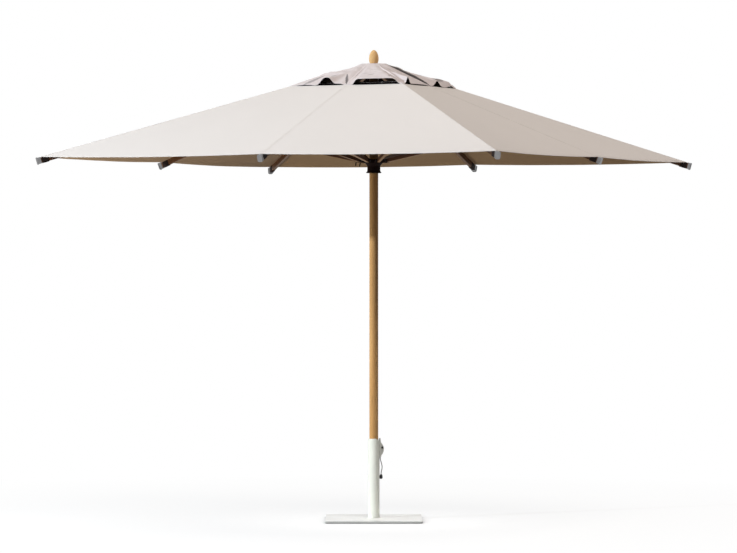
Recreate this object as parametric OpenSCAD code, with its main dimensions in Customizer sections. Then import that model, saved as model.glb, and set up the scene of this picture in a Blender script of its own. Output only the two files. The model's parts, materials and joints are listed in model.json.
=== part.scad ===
// Patio umbrella: a square canopy on eight timber ribs, a round timber mast with a sliding runner,
// and a lacquered steel base whose socket grips the mast with a sprung cam.
// Millimetres, +Z up. The origin is on the ground, on the mast's axis.

/* [Canopy] */
// Length of each side of the square canopy, along its hem
canopy_side = 3000; // [2400:50:3400]
// Height of the canopy's peak above its hem
canopy_rise = 600; // [480:10:720]
// Height of the canopy's peak above the ground
peak_height = 2844; // [2700:2:3000]
// Thickness of the canopy's cloth
cloth_t = 1.2; // [0.8:0.1:2]
// Half the width of the square vent opening round the crown
vent_half = 330; // [260:10:400]
// How far the vent cap reaches past the vent opening, on each side
vent_cap_overlap = 55; // [30:5:90]
// How far the vent cap's hem arches up between two ribs
vent_arch = 44; // [20:2:60]
// How far the vent cap billows above the canopy, half way out to its hem
vent_billow = 16; // [0:2:24]
// Gap left between the cloth of neighbouring ribs
cloth_split = 0.4; // [0.2:0.1:1]

/* [Ribs and struts] */
// Width of a rib
rib_w = 20; // [16:1:24]
// Height of a rib
rib_h = 34; // [28:1:38]
// How far each rib reaches past the hem, along its length
rib_overhang = 27; // [22:1:40]
// Distance along a middle rib from its crown pin to its strut's pin
strut_pin_run = 980; // [900:5:1000]
// Distance of the strut's pin below the middle line of its rib
strut_pin_drop = 32; // [31:0.5:36]
// Steepness of the closed ribs, from level
closed_angle = 87.3; // [86:0.1:88]
// Width of a strut
strut_w = 18; // [14:1:20]
// Height of a strut
strut_h = 22; // [18:1:24]
// Thickness of the plates that join a rib to its strut
cheek_t = 3; // [2:0.5:4]
// Wall of the metal cap on a rib's end
tip_wall = 2.5; // [1.5:0.5:4]
// How far the cap's rim stands out round its mouth
tip_rim = 3; // [2:0.5:5]

/* [Mast, crown and runner] */
// Diameter of the mast
mast_d = 55; // [48:0.5:56]
// Height of the mast's lower end above the ground
mast_foot_z = 45; // [30:1:70]
// Wall of the crown between the mast and the ends of the ribs
crown_wall = 10; // [8:0.5:12]
// How far the crown reaches past its pins
crown_rim = 19; // [16:1:24]
// Height of the crown's solid top plate
crown_top_t = 8; // [5:1:12]
// Height of the crown's pins above the crown's lower face
crown_skirt = 32; // [26:1:40]
// Height of the finial
finial_h = 84; // [60:1:100]
// Largest diameter of the finial
finial_d = 60; // [50:1:66]
// Height of the canopy's peak above the runner's pins
runner_drop = 610; // [590:5:640]
// Distance of the runner's pins from the mast's surface
runner_reach = 60.5; // [60:0.5:64]
// Clearance between the runner and the mast, on the radius
runner_gap = 1; // [0.6:0.1:1.5]
// Wall of the runner's neck
neck_wall = 12; // [10:0.5:14]
// Height of the runner's pins above its lower rim
runner_depth = 76; // [70:1:84]
// Thickness of each lug that holds a strut's pin on the runner
lug_t = 5; // [4:0.5:7]

/* [Base] */
// Length of each side of the base plate
plate_side = 600; // [500:10:800]
// Thickness of the base plate
plate_t = 11; // [8:1:14]
// Radius of the base plate's corners
plate_corner = 12; // [4:1:40]
// Height of the glides under the plate
glide_t = 3; // [2:0.5:5]
// Turn of the base about the mast, against the canopy
base_turn = 26; // [0:1:45]
// Outer diameter of the base's tube
tube_d = 72; // [70:0.5:76]
// Wall of the base's tube
tube_wall = 3; // [2:0.5:4]
// Height of the tube's mouth above the ground
tube_top = 507; // [480:1:540]
// How far the mouth is cut down on the side of the cam
mouth_drop = 15; // [10:1:24]

/* [Lock] */
// Turn of the lock about the mast, against the base plate
lock_turn = 19; // [0:1:40]
// Height of the cam's pin above the ground
cam_pin_z = 450; // [440:1:455]
// Distance of the cam's pin from the tube's surface
cam_pin_out = 16; // [15:0.5:18]
// Diameter of the cam's pin
cam_pin_d = 9; // [7:0.5:10]
// Thickness of the cam
cam_t = 10; // [8:0.5:12]
// Thickness of each side plate of the lock
lock_plate_t = 4; // [3:0.5:5]
// Height of the side plates
lock_plate_h = 93; // [88:1:98]
// How far the side plates reach from the tube
lock_plate_out = 27; // [25:0.5:30]
// Thickness of the release cord
cord_d = 5; // [4:0.5:6]

/* [Hardware] */
// Diameter of the pins of the ribs and struts
pin_d = 8; // [6:0.5:9]
// Diameter of the rivets that hold a rib's plates
rivet_d = 5; // [4:0.5:6]
// Clearance of a pin in its hole, on the radius
pin_fit = 0.05; // [0.02:0.01:0.09]
// Clearance between flat faces that swing past each other
side_gap = 0.6; // [0.4:0.1:1]

/* [Hidden] */
$fn = 64;
eps = 0.01;

// Colours
timber = "#b5793f";
timber_light = "#d9a65e";
dark_resin = "#241a17";
bright_metal = "#b9bcc2";
lacquer = "#f1f1ef";
canvas = "#ddd6cf";
black_plastic = "#1c1c1e";

// Eight ribs, 45 degrees apart: odd ones run to the middle of a side, even ones to a corner.
rib_count = 8;
rib_step = 360 / rib_count;
half_side = canopy_side / 2;
face_slope = atan(canopy_rise / half_side);
corner_slope = atan(canopy_rise / (half_side * sqrt(2)));
function to_corner(k) = k % 2 == 0;
function slope(k) = to_corner(k) ? corner_slope : face_slope;
function hem_radius(k) = half_side * (to_corner(k) ? sqrt(2) : 1);

// The cloth lies on a middle rib's top face, and on the two top edges of a corner rib.
face_seat = 0.05;
ridge_seat = 0.2;
ridge_rise = rib_w / 2 * sin(corner_slope) + ridge_seat;
function cloth_offset(k) = rib_h / 2 + cloth_t + (to_corner(k) ? ridge_rise : face_seat);

// Crown: the pins stand far enough out for a rib's rounded end to clear the crown's core.
mast_r = mast_d / 2;
swing_gap = 3.5;
crown_core_r = mast_r + crown_wall;
crown_pin_r = crown_core_r + swing_gap + rib_h / 2;
crown_r = crown_pin_r + crown_rim;
function crown_pin_z(k) = peak_height - crown_pin_r * tan(slope(k)) - cloth_offset(k) / cos(slope(k));
crown_low_z = crown_pin_z(1) - crown_skirt;
crown_slot_z = crown_pin_z(2) + rib_h / 2 + swing_gap;
crown_top_z = crown_slot_z + crown_top_t;
crown_pin_span = rib_w + 2 * side_gap + 14;
function rib_length(k) = (hem_radius(k) - crown_pin_r) / cos(slope(k)) + rib_overhang;

// Linkage: a strut runs from the runner's lugs to a pin under its rib.
runner_pin_r = mast_r + runner_reach;
runner_pin_z = peak_height - runner_drop;
function rib_pin(k, angle, run) = [
  crown_pin_r + run * cos(angle) - strut_pin_drop * sin(angle),
  crown_pin_z(k) - run * sin(angle) - strut_pin_drop * cos(angle)
];
function strut_reach(k, run) = rib_pin(k, slope(k), run) - [runner_pin_r, runner_pin_z];
function travel(k, run) =
  let (
    closed = rib_pin(k, closed_angle, run),
    length = norm(strut_reach(k, run)),
    lean = closed[0] - runner_pin_r
  ) runner_pin_z - closed[1] + sqrt(length * length - lean * lean);
fold_travel = travel(1, strut_pin_run);
// A corner rib is longer and flatter, so its pin stands where its strut gives the same travel.
function same_travel(low, high, steps) =
  let (middle = (low + high) / 2)
  steps == 0 ? middle
  : travel(2, middle) < fold_travel ? same_travel(middle, high, steps - 1)
  : same_travel(low, middle, steps - 1);
corner_pin_run = same_travel(strut_pin_run / 2, strut_pin_run * 1.5, 40);
function pin_run(k) = to_corner(k) ? corner_pin_run : strut_pin_run;
function strut_length(k) = norm(strut_reach(k, pin_run(k)));
function strut_angle(k) = let (reach = strut_reach(k, pin_run(k))) atan2(reach[1], reach[0]);

// Rib fittings
tip_gap = 3;
tip_floor = 3;
tip_rim_t = 4;
tip_seat = 0.1;
cheek_half = 20;
cheek_top = 12;
cheek_eye_r = 11;
rivet_step = 12;
rivet_head_t = 1.6;
pin_head_t = 3;
pin_head_d = pin_d * 1.6;

// Runner
runner_bore_r = mast_r + runner_gap;
neck_r = runner_bore_r + neck_wall;
skirt_h = 24;
skirt_flare = 7;
lug_half_gap = strut_w / 2 + side_gap;
lug_eye_r = 10;
lug_leg = 8;
lug_slot = pin_d + 0.6;
lug_top = 8;
lug_low = 12;
hub_ring_r = runner_pin_r - strut_h / 2 - 22;
hub_edge = 1.5;
hub_ring_low = lug_low + 2;
hub_funnel_h = 18;
tie_band_t = 1.6;
tie_band_w = 12;
tie_end_h = 22;
tie_end_at = 14;
tie_at = 18;

// Finial and vent cap
cap_seat = 2;
cap_rim_r = crown_r + 3;
cap_fall = 30;
vent_rows = 7;
vent_cap_half = vent_half + vent_cap_overlap;
vent_cap_t = 1.5;
washer_t = 3;
washer_d = finial_d - 12;
vent_cap_z = crown_top_z + 1;
finial_z = vent_cap_z + vent_cap_t + washer_t;

// Base
plate_z = glide_t;
plate_top = plate_z + plate_t;
tube_r = tube_d / 2;
tube_bore_r = tube_r - tube_wall;
glide_d = 40;
glide_inset = 45;
weld_leg = 5;
bush_h = 40;
bush_flat = 0.05;
lower_bush_z = mast_foot_z + 12;
upper_bush_z = tube_top - mouth_drop - bush_h - 6;
foot_t = 8;

// Lock, drawn on its own +X side and then turned about the mast
lock_azimuth = base_turn + lock_turn;
cam_pin_r = tube_r + cam_pin_out;
cam_slot = cam_t + 2 * side_gap;
lock_plate_low = cam_pin_z - lock_plate_h * 0.6;
lock_plate_r = (pow(lock_plate_h / 2, 2) + pow(lock_plate_out, 2)) / (2 * lock_plate_out);
cam_nose_x = mast_r + 0.4;
cam_tail_x = tube_r + 6;
cam_tail_z = cam_pin_z - 58;
cam_tab_z = cam_pin_z + 58;
cam_boss_r = 11;
cam_boss_step = 0.5;
spring_wire = 1.6;
spring_turns = 3;
spring_r = cam_pin_d / 2 + 2;
spring_pitch = spring_wire + 0.2;
spring_seat = 0.1;
spring_pocket = spring_turns * spring_pitch + spring_wire + 2 * spring_seat;
cord_exit = [42, 391];
// The cord's route, down from the cam's tail, as distance from the mast's axis and height
cord_route = [
  cord_exit, [42, 385], [42.8, 378.5], [44.3, 372], [46.5, 365], [48.9, 358], [51, 351], [52.7, 344],
  [53.9, 337], [54.4, 330], [54.2, 323], [53.4, 316], [51.9, 309], [50.2, 302], [48.8, 295], [48, 289],
  [48, 284]
];
cord_sides = 10;
knob_d = 20;
knob_h = 30;

function frame_side(route, i) =
  let (
    before = route[max(i - 1, 0)],
    after = route[min(i + 1, len(route) - 1)],
    way = after - before
  ) [-way[1], way[0]] / norm(way);

// A round cord swept along a route in the XZ plane.
module sweep_cord(route, d, sides) {
  rings = len(route);
  points = [
    for (i = [0 : rings - 1], s = [0 : sides - 1])
      let (
        turn = 360 * s / sides,
        side = frame_side(route, i) * cos(turn) * d / 2
      ) [route[i][0] + side[0], sin(turn) * d / 2, route[i][1] + side[1]]
  ];
  walls = [
    for (i = [0 : rings - 2], s = [0 : sides - 1])
      let (a = i * sides + s, b = i * sides + (s + 1) % sides) [a, b, b + sides, a + sides]
  ];
  start = [for (s = [sides - 1 : -1 : 0]) s];
  end = [for (s = [0 : sides - 1]) (rings - 1) * sides + s];
  polyhedron(points, concat([start], walls, [end]), convexity = 4);
}

module at_azimuth(k) {
  rotate([0, 0, rib_step * (k - 1)]) children();
}

// A rib's own frame: +X runs out along the rib from its crown pin, +Z stands up from its top face.
module at_rib(k) {
  at_azimuth(k) translate([crown_pin_r, 0, crown_pin_z(k)]) rotate([0, slope(k), 0]) children();
}

// A strut's own frame: +X runs out along the strut from its runner pin.
module at_strut(k) {
  at_azimuth(k) translate([runner_pin_r, 0, runner_pin_z]) rotate([0, -strut_angle(k), 0]) children();
}

module at_lock() {
  rotate([0, 0, lock_azimuth]) children();
}

// A rod across a bar, on the Y axis.
module cross_rod(x, z, d, length) {
  translate([x, 0, z]) rotate([90, 0, 0]) cylinder(d = d, h = length, center = true);
}

// A plate in the XZ plane, centred on y.
module side_plate(y, t) {
  translate([0, y + t / 2, 0]) rotate([90, 0, 0]) linear_extrude(t) children();
}

module rib(k) {
  length = rib_length(k);
  run = pin_run(k);
  color(timber) at_rib(k) difference() {
    union() {
      translate([0, -rib_w / 2, -rib_h / 2]) cube([length - tip_floor - tip_seat, rib_w, rib_h]);
      cross_rod(0, 0, rib_h, rib_w);
    }
    cross_rod(0, 0, pin_d + 2 * pin_fit, rib_w + 1);
    for (side = [-1, 1]) cross_rod(run + side * rivet_step, 0, rivet_d + 2 * pin_fit, rib_w + 1);
  }
}

// Metal cap over a rib's end: a sleeve with a floor and a rim that stands out at the tip.
module rib_tip(k) {
  length = rib_length(k);
  start = (hem_radius(k) - crown_pin_r) / cos(slope(k)) + tip_gap;
  sleeve_w = rib_w + 2 * (tip_seat + tip_wall);
  sleeve_h = rib_h + 2 * (tip_seat + tip_wall);
  difference() {
    union() {
      translate([start, -sleeve_w / 2, -sleeve_h / 2]) cube([length - start, sleeve_w, sleeve_h]);
      translate([length - tip_rim_t, 0, 0]) rotate([0, 90, 0]) intersection() {
        translate([0, 0, tip_rim_t / 2])
          cube([sleeve_h + 2 * tip_rim, sleeve_w + 2 * tip_rim, tip_rim_t], center = true);
        cylinder(d = sleeve_h + 2 * tip_rim + 2, h = tip_rim_t);
      }
    }
    translate([start - 1, -rib_w / 2 - tip_seat, -rib_h / 2 - tip_seat])
      cube([length - start - tip_floor + 1, rib_w + 2 * tip_seat, rib_h + 2 * tip_seat]);
  }
}

// Two steel plates riveted to a rib's sides, with the pin that carries its strut below them.
module rib_cheeks(k) {
  run = pin_run(k);
  for (side = [-1, 1]) difference() {
    side_plate(side * (rib_w + cheek_t) / 2, cheek_t) union() {
      polygon([
        [run - cheek_half, cheek_top], [run + cheek_half, cheek_top],
        [run + cheek_half, -rib_h / 2], [run + cheek_eye_r, -strut_pin_drop],
        [run - cheek_eye_r, -strut_pin_drop], [run - cheek_half, -rib_h / 2]
      ]);
      translate([run, -strut_pin_drop]) circle(r = cheek_eye_r);
    }
    cross_rod(run, -strut_pin_drop, pin_d + 2 * pin_fit, rib_w * 2);
    for (end = [-1, 1]) cross_rod(run + end * rivet_step, 0, rivet_d + 2 * pin_fit, rib_w * 2);
  }
  headed_rod(run, -strut_pin_drop, pin_d, pin_head_d, rib_w + 2 * cheek_t, pin_head_t);
  for (end = [-1, 1])
    headed_rod(run + end * rivet_step, 0, rivet_d, rivet_d * 1.8, rib_w + 2 * cheek_t, rivet_head_t);
}

// A pin or rivet across a joint, with a head outside each face of the stack that it holds.
module headed_rod(x, z, d, head_d, stack, head_t) {
  cross_rod(x, z, d, stack + 2 * head_t);
  for (side = [-1, 1]) translate([x, side * (stack + head_t + eps) / 2, z]) rotate([90, 0, 0])
    cylinder(d = head_d, h = head_t - eps, center = true);
}

module rib_fittings(k) {
  color(bright_metal) at_rib(k) {
    rib_tip(k);
    rib_cheeks(k);
  }
}

// One flat piece of cloth in the plane of a canopy face whose middle rib has number k.
// The corners are given in plan, as distance out and to the side.
module face_cloth(k, corners) {
  at_azimuth(k) translate([0, 0, peak_height]) rotate([0, face_slope, 0])
    translate([0, 0, -cloth_t]) linear_extrude(cloth_t)
      polygon([for (c = corners) [c[0] / cos(face_slope), c[1]]]);
}

// The cloth that a rib carries, from the middle of one gore to the middle of the next.
module canopy(k) {
  inner = vent_half;
  outer = half_side;
  split = cloth_split / 2;
  color(canvas) {
    if (to_corner(k)) {
      face_cloth(k - 1, [
        [inner, inner / 2 + split], [outer, outer / 2 + split], [outer, outer], [inner, inner]
      ]);
      face_cloth(k + 1, [
        [inner, -inner], [outer, -outer], [outer, -outer / 2 - split], [inner, -inner / 2 - split]
      ]);
    } else face_cloth(k, [
      [inner, -inner / 2 + split], [outer, -outer / 2 + split],
      [outer, outer / 2 - split], [inner, inner / 2 - split]
    ]);
  }
}

// The vent cap lies flat over the crown, falls from its rim to the canopy's faces, and billows a
// little above them. Its hem arches up between the ribs.
function square_share(turn) = max(abs(cos(turn)), abs(sin(turn)));
function vent_radius(turn, row) =
  row == 0 ? washer_d / 2
  : cap_rim_r + (vent_cap_half / square_share(turn) - cap_rim_r) * (row - 1) / (vent_rows - 1);
function vent_lift(turn, share) =
  vent_billow * sin(180 * share) + vent_arch * share * share * pow(sin(4 * turn), 2);
function vent_point(turn, row, drop) =
  let (
    r = vent_radius(turn, row),
    flat_z = vent_cap_z + vent_cap_t,
    tent = flat_z - max(0, r - cap_rim_r) * tan(cap_fall),
    face = peak_height - r * square_share(turn) * tan(face_slope) + cap_seat,
    lift = row > 1 ? vent_lift(turn, (row - 1) / (vent_rows - 1)) : 0
  ) [r * cos(turn), r * sin(turn), min(max(face, tent), flat_z) + lift - drop];

// The loose upper cloth over the vent opening, tied down at the ribs.
module vent_cap() {
  turns = 64;
  rows = vent_rows;
  points = [
    for (drop = [0, vent_cap_t], row = [0 : rows], i = [0 : turns - 1])
      vent_point(360 * i / turns, row, drop)
  ];
  under = (rows + 1) * turns;
  skin = [
    for (row = [0 : rows - 1], i = [0 : turns - 1])
      let (a = row * turns + i, b = row * turns + (i + 1) % turns) each [
        [a, b, b + turns], [a, b + turns, a + turns],
        [a + under, b + turns + under, b + under], [a + under, a + turns + under, b + turns + under]
      ]
  ];
  rim = [
    for (row = [0, rows], i = [0 : turns - 1])
      let (a = row * turns + i, b = row * turns + (i + 1) % turns)
        each row == 0 ? [[a, b + under, b], [a, a + under, b + under]]
        : [[a, b, b + under], [a, b + under, a + under]]
  ];
  color(canvas) polyhedron(points, concat(skin, rim), convexity = 8);
}

module strut(k) {
  length = strut_length(k);
  color(timber) at_strut(k) difference() {
    union() {
      translate([0, -strut_w / 2, -strut_h / 2]) cube([length, strut_w, strut_h]);
      for (x = [0, length]) cross_rod(x, 0, strut_h, strut_w);
    }
    for (x = [0, length]) cross_rod(x, 0, pin_d + 2 * pin_fit, strut_w + 1);
  }
}

// The pin in a strut's inner end, which seats in the slots of the runner's lugs.
module strut_pin(k) {
  color(bright_metal) at_strut(k)
    headed_rod(0, 0, pin_d, pin_head_d, 2 * (lug_half_gap + lug_t + side_gap), pin_head_t);
}

module mast() {
  color(timber) translate([0, 0, mast_foot_z]) cylinder(r = mast_r, h = crown_slot_z - mast_foot_z, $fn = 96);
}

// Plastic foot under the mast's lower end.
module mast_foot() {
  color(black_plastic) translate([0, 0, mast_foot_z - foot_t]) cylinder(r1 = mast_r - 5, r2 = mast_r, h = foot_t);
}

module crown() {
  color(dark_resin) difference() {
    rotate_extrude($fn = 96) polygon([
      [mast_r, crown_low_z - 14], [crown_core_r, crown_low_z - 14], [crown_core_r, crown_low_z],
      [crown_r - 10, crown_low_z], [crown_r, crown_low_z + 12], [crown_r, crown_slot_z - 2],
      [crown_r - 8, crown_top_z], [0, crown_top_z], [0, crown_slot_z], [mast_r, crown_slot_z]
    ]);
    for (k = [1 : rib_count]) at_azimuth(k) {
      translate([crown_core_r, -rib_w / 2 - side_gap, crown_low_z - 1])
        cube([crown_r, rib_w + 2 * side_gap, crown_slot_z - crown_low_z + 1]);
      translate([crown_pin_r, 0, 0]) cross_rod(0, crown_pin_z(k), pin_d + 2 * pin_fit, crown_pin_span);
    }
  }
}

// The eight pins of the ribs, and the stepped washer that clamps the vent cap under the finial.
module crown_steel() {
  color(bright_metal) {
    for (k = [1 : rib_count]) at_azimuth(k) cross_rod(crown_pin_r, crown_pin_z(k), pin_d, crown_pin_span);
    translate([0, 0, vent_cap_z]) cylinder(d = washer_d - 2, h = vent_cap_t + washer_t);
    translate([0, 0, crown_top_z]) cylinder(d = 20, h = vent_cap_z - crown_top_z);
  }
}

// Turned acorn finial: a low belly that draws in to a soft point.
module finial() {
  r = finial_d / 2;
  belly = finial_h * 0.36;
  finial_point = 1.15;
  color(timber_light) translate([0, 0, finial_z]) rotate_extrude($fn = 96) polygon(concat(
    [[0, 0], [r * 0.72, 0]],
    [for (t = [10 : 10 : 90]) [r * (0.72 + 0.28 * sin(t)), belly * (1 - cos(t))]],
    [for (t = [7.5 : 7.5 : 82.5]) [r * pow(cos(t), finial_point), belly + (finial_h - belly) * sin(t)]],
    [[0, finial_h]]
  ));
}

// A pair of lugs for each strut, with slots that open downwards for its pin.
module runner_lugs() {
  color(dark_resin) translate([0, 0, runner_pin_z]) for (k = [1 : rib_count], side = [-1, 1])
    at_azimuth(k) runner_lug(side);
}

module runner_lug(side) {
  difference() {
    side_plate(side * (lug_half_gap + lug_t / 2), lug_t) union() {
      translate([neck_r, -lug_low]) square([runner_pin_r - neck_r, lug_low + lug_top]);
      translate([runner_pin_r, 0]) circle(r = lug_eye_r);
      translate([runner_pin_r - lug_leg, -lug_low]) square([2 * lug_leg, lug_low]);
    }
    cross_rod(runner_pin_r, 0, pin_d + 2 * pin_fit, runner_pin_r);
    translate([runner_pin_r - lug_slot / 2, -runner_pin_r / 2, -lug_low - 1])
      cube([lug_slot, runner_pin_r, lug_low + 1]);
    translate([0, 0, -2 * lug_low]) cylinder(r = hub_ring_r + eps, h = 4 * lug_low, $fn = 96);
  }
}

module runner_hub() {
  low = runner_depth - skirt_h;
  color(dark_resin) translate([0, 0, runner_pin_z]) rotate_extrude($fn = 96) polygon([
    [runner_bore_r, -low], [neck_r, -low], [neck_r, -hub_ring_low - hub_funnel_h],
    [hub_ring_r, -hub_ring_low], [hub_ring_r, lug_top], [hub_ring_r - hub_edge, lug_top + hub_edge],
    [runner_bore_r, lug_top + hub_edge]
  ]);
}

// Flared collar on the runner's lower end, which is what a hand pushes up.
module runner_skirt() {
  low = runner_pin_z - runner_depth;
  color(dark_resin) translate([0, 0, low]) rotate_extrude($fn = 96) polygon(concat(
    [[runner_bore_r, skirt_h], [runner_bore_r, 6], [runner_bore_r + 4, 0], [neck_r + skirt_flare - 2, 0],
     [neck_r + skirt_flare, 2], [neck_r + skirt_flare, 5]],
    [for (t = [15 : 15 : 75]) [neck_r + skirt_flare * (1 - sin(t)), 5 + (skirt_h - 9) * (1 - cos(t))]],
    [[neck_r, skirt_h - 4], [neck_r, skirt_h]]
  ));
}

// Webbing band round one strut beside the runner, with its two ends hanging.
module tie_loop() {
  inner_w = strut_w + 0.4;
  inner_h = strut_h + 0.4;
  color(black_plastic) at_strut(5) translate([tie_at, 0, 0]) {
    difference() {
      cube([tie_band_w, inner_w + 2 * tie_band_t, inner_h + 2 * tie_band_t], center = true);
      cube([tie_band_w + 1, inner_w, inner_h], center = true);
    }
    for (x = [-1, 1]) translate([x * tie_end_at - tie_band_t / 2, -4, -inner_h / 2 - tie_band_t - tie_end_h])
      cube([tie_band_t, 8, tie_end_h]);
    translate([-tie_end_at - tie_band_t / 2, -4, -inner_h / 2 - 2 * tie_band_t])
      cube([2 * tie_end_at + tie_band_t, 8, tie_band_t]);
  }
}

// Square plate with rounded corners, seen from above.
module plate_outline(side, r) {
  square([side - 2 * r, side], center = true);
  square([side, side - 2 * r], center = true);
  for (x = [-1, 1], y = [-1, 1]) translate([x, y] * (side / 2 - r)) circle(r = r);
}

module base_plate() {
  color(lacquer) rotate([0, 0, base_turn]) translate([0, 0, plate_z])
    linear_extrude(plate_t) plate_outline(plate_side, plate_corner);
}

module plate_glides() {
  place = plate_side / 2 - glide_inset;
  color(black_plastic) rotate([0, 0, base_turn]) for (x = [-1, 1], y = [-1, 1])
    translate([x * place, y * place, 0]) cylinder(d = glide_d, h = glide_t);
}

// Socket tube, slotted and cut down on one side for the cam, with the weld at its foot.
module base_tube() {
  height = tube_top - plate_top;
  color(lacquer) difference() {
    union() {
      translate([0, 0, plate_top]) difference() {
        cylinder(r = tube_r, h = height, $fn = 96);
        translate([0, 0, -1]) cylinder(r = tube_bore_r, h = height + 2, $fn = 96);
      }
      translate([0, 0, plate_top]) rotate_extrude($fn = 96)
        polygon([[tube_r - eps, 0], [tube_r + weld_leg, 0], [tube_r - eps, weld_leg]]);
    }
    at_lock() {
      translate([0, -cam_slot / 2, cam_tail_z - 6]) cube([tube_d, cam_slot, tube_top]);
      translate([0, -tube_d, tube_top]) rotate([0, atan(mouth_drop / tube_r), 0]) cube([tube_d, 2 * tube_d, tube_d]);
    }
  }
}

// Two plastic sleeves that take up the play between the tube and the mast.
module base_bushes() {
  color(black_plastic) for (z = [lower_bush_z, upper_bush_z]) difference() {
    translate([0, 0, z]) cylinder(r = tube_bore_r - bush_flat, h = bush_h, $fn = 96);
    translate([0, 0, z - 1]) cylinder(r = mast_r + pin_fit, h = bush_h + 2, $fn = 96);
    at_lock() translate([0, -cam_slot / 2, cam_tail_z - 6]) cube([tube_d, cam_slot, tube_top]);
  }
}

// The pair of D-shaped side plates welded to the tube, one on each side of the cam.
module lock_plates() {
  middle_z = lock_plate_low + lock_plate_h / 2;
  middle_x = tube_r + lock_plate_out - lock_plate_r;
  color(lacquer) at_lock() for (side = [-1, 1]) difference() {
    side_plate(side * (cam_slot + lock_plate_t) / 2, lock_plate_t) intersection() {
      translate([middle_x, middle_z]) circle(r = lock_plate_r, $fn = 96);
      translate([tube_r - 4, lock_plate_low]) square([lock_plate_out + 4, lock_plate_h]);
    }
    cylinder(r = tube_r, h = 2 * tube_top, $fn = 96);
    cross_rod(cam_pin_r, cam_pin_z, cam_pin_d + 2 * pin_fit, tube_d);
  }
}

module cam_pin() {
  color(dark_resin) at_lock()
    headed_rod(cam_pin_r, cam_pin_z, cam_pin_d, cam_pin_d + 4, cam_slot + 2 * lock_plate_t, 3);
}

// Rocking cam: a thumb tab above, a nose that presses on the mast, and a tail for the cord.
module lock_cam() {
  color(lacquer) at_lock() difference() {
    union() {
      side_plate(0, cam_t - 2 * cam_boss_step) polygon([
        [tube_r - 1, cam_tab_z], [tube_r + 6, cam_tab_z + 2], [tube_r + 9, cam_pin_z + 34],
        [cam_pin_r + 5, cam_pin_z + 14], [cam_pin_r + 2, cam_pin_z - 22],
        [cam_tail_x + 6, cam_tail_z + 12], [cam_tail_x + 5, cam_tail_z - 1], [cam_tail_x - 5, cam_tail_z - 1],
        [cam_tail_x - 7, cam_tail_z + 14], [cam_nose_x + 4, cam_pin_z - 34],
        [cam_nose_x, cam_pin_z - 27], [cam_nose_x + 4, cam_pin_z - 18], [tube_r, cam_pin_z],
        [tube_r - 1, cam_pin_z + 20]
      ]);
      cross_rod(cam_pin_r, cam_pin_z, 2 * cam_boss_r, cam_t);
    }
    cross_rod(cam_pin_r, cam_pin_z, cam_pin_d + 2 * pin_fit, tube_d);
    translate([cam_pin_r, -cam_t / 2 + spring_pocket, cam_pin_z]) rotate([90, 0, 0])
      cylinder(r = spring_r + spring_wire, h = spring_pocket + 1);
  }
}

// Torsion spring in the cam's pocket, wound round the pin.
module cam_spring() {
  steps = 16;
  sides = 6;
  rings = spring_turns * steps;
  points = [
    for (i = [0 : rings], s = [0 : sides - 1])
      let (
        turn = 360 * i / steps,
        r = spring_r + spring_wire / 2 * cos(360 * s / sides)
      ) [r * cos(turn), spring_pitch * turn / 360 + spring_wire / 2 * sin(360 * s / sides), r * sin(turn)]
  ];
  walls = [
    for (i = [0 : rings - 1], s = [0 : sides - 1])
      let (a = i * sides + s, b = i * sides + (s + 1) % sides) each [
        [a, b + sides, b], [a, a + sides, b + sides]
      ]
  ];
  start = [for (s = [0 : sides - 1]) s];
  end = [for (s = [sides - 1 : -1 : 0]) rings * sides + s];
  color(bright_metal) at_lock() translate([cam_pin_r, -cam_t / 2 + spring_wire / 2 + spring_seat, cam_pin_z])
    polyhedron(points, concat([start], walls, [end]), convexity = 8);
}

module release_cord() {
  color("#a9a9a6") at_lock() sweep_cord(cord_route, cord_d, cord_sides);
}

// Teardrop pull on the cord's lower end.
module cord_knob() {
  r = knob_d / 2;
  last = cord_route[len(cord_route) - 1];
  color(black_plastic) at_lock() translate([last[0], 0, last[1] - knob_h]) rotate_extrude() polygon(concat(
    [[0, 0]],
    [for (t = [15 : 15 : 90]) [r * sin(t), r * (1 - cos(t))]],
    [for (t = [15 : 15 : 75]) [cord_d / 2 + 1 + (r - cord_d / 2 - 1) * cos(t), r + (knob_h - r) * sin(t)]],
    [[cord_d / 2 + 0.5, knob_h], [0, knob_h]]
  ));
}

base_plate();
plate_glides();
base_tube();
base_bushes();
lock_plates();
cam_pin();
lock_cam();
cam_spring();
release_cord();
cord_knob();
mast();
mast_foot();
crown();
crown_steel();
finial();
vent_cap();
runner_hub();
runner_lugs();
runner_skirt();
tie_loop();
for (k = [1 : rib_count]) {
  rib(k);
  rib_fittings(k);
  canopy(k);
  strut(k);
  strut_pin(k);
}
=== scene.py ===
"""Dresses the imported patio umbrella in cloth, timber, lacquer and cord, in a plain studio.

Lengths are metres in the frame's own axes: +Z up the mast, the mast on the Z axis, the ground
at zero.
"""
import json
import logging
import math
from collections.abc import Sequence
from dataclasses import dataclass, field
from enum import Enum

import bmesh
import bpy
import numpy as np
from mathutils import Matrix, Vector, noise


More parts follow.
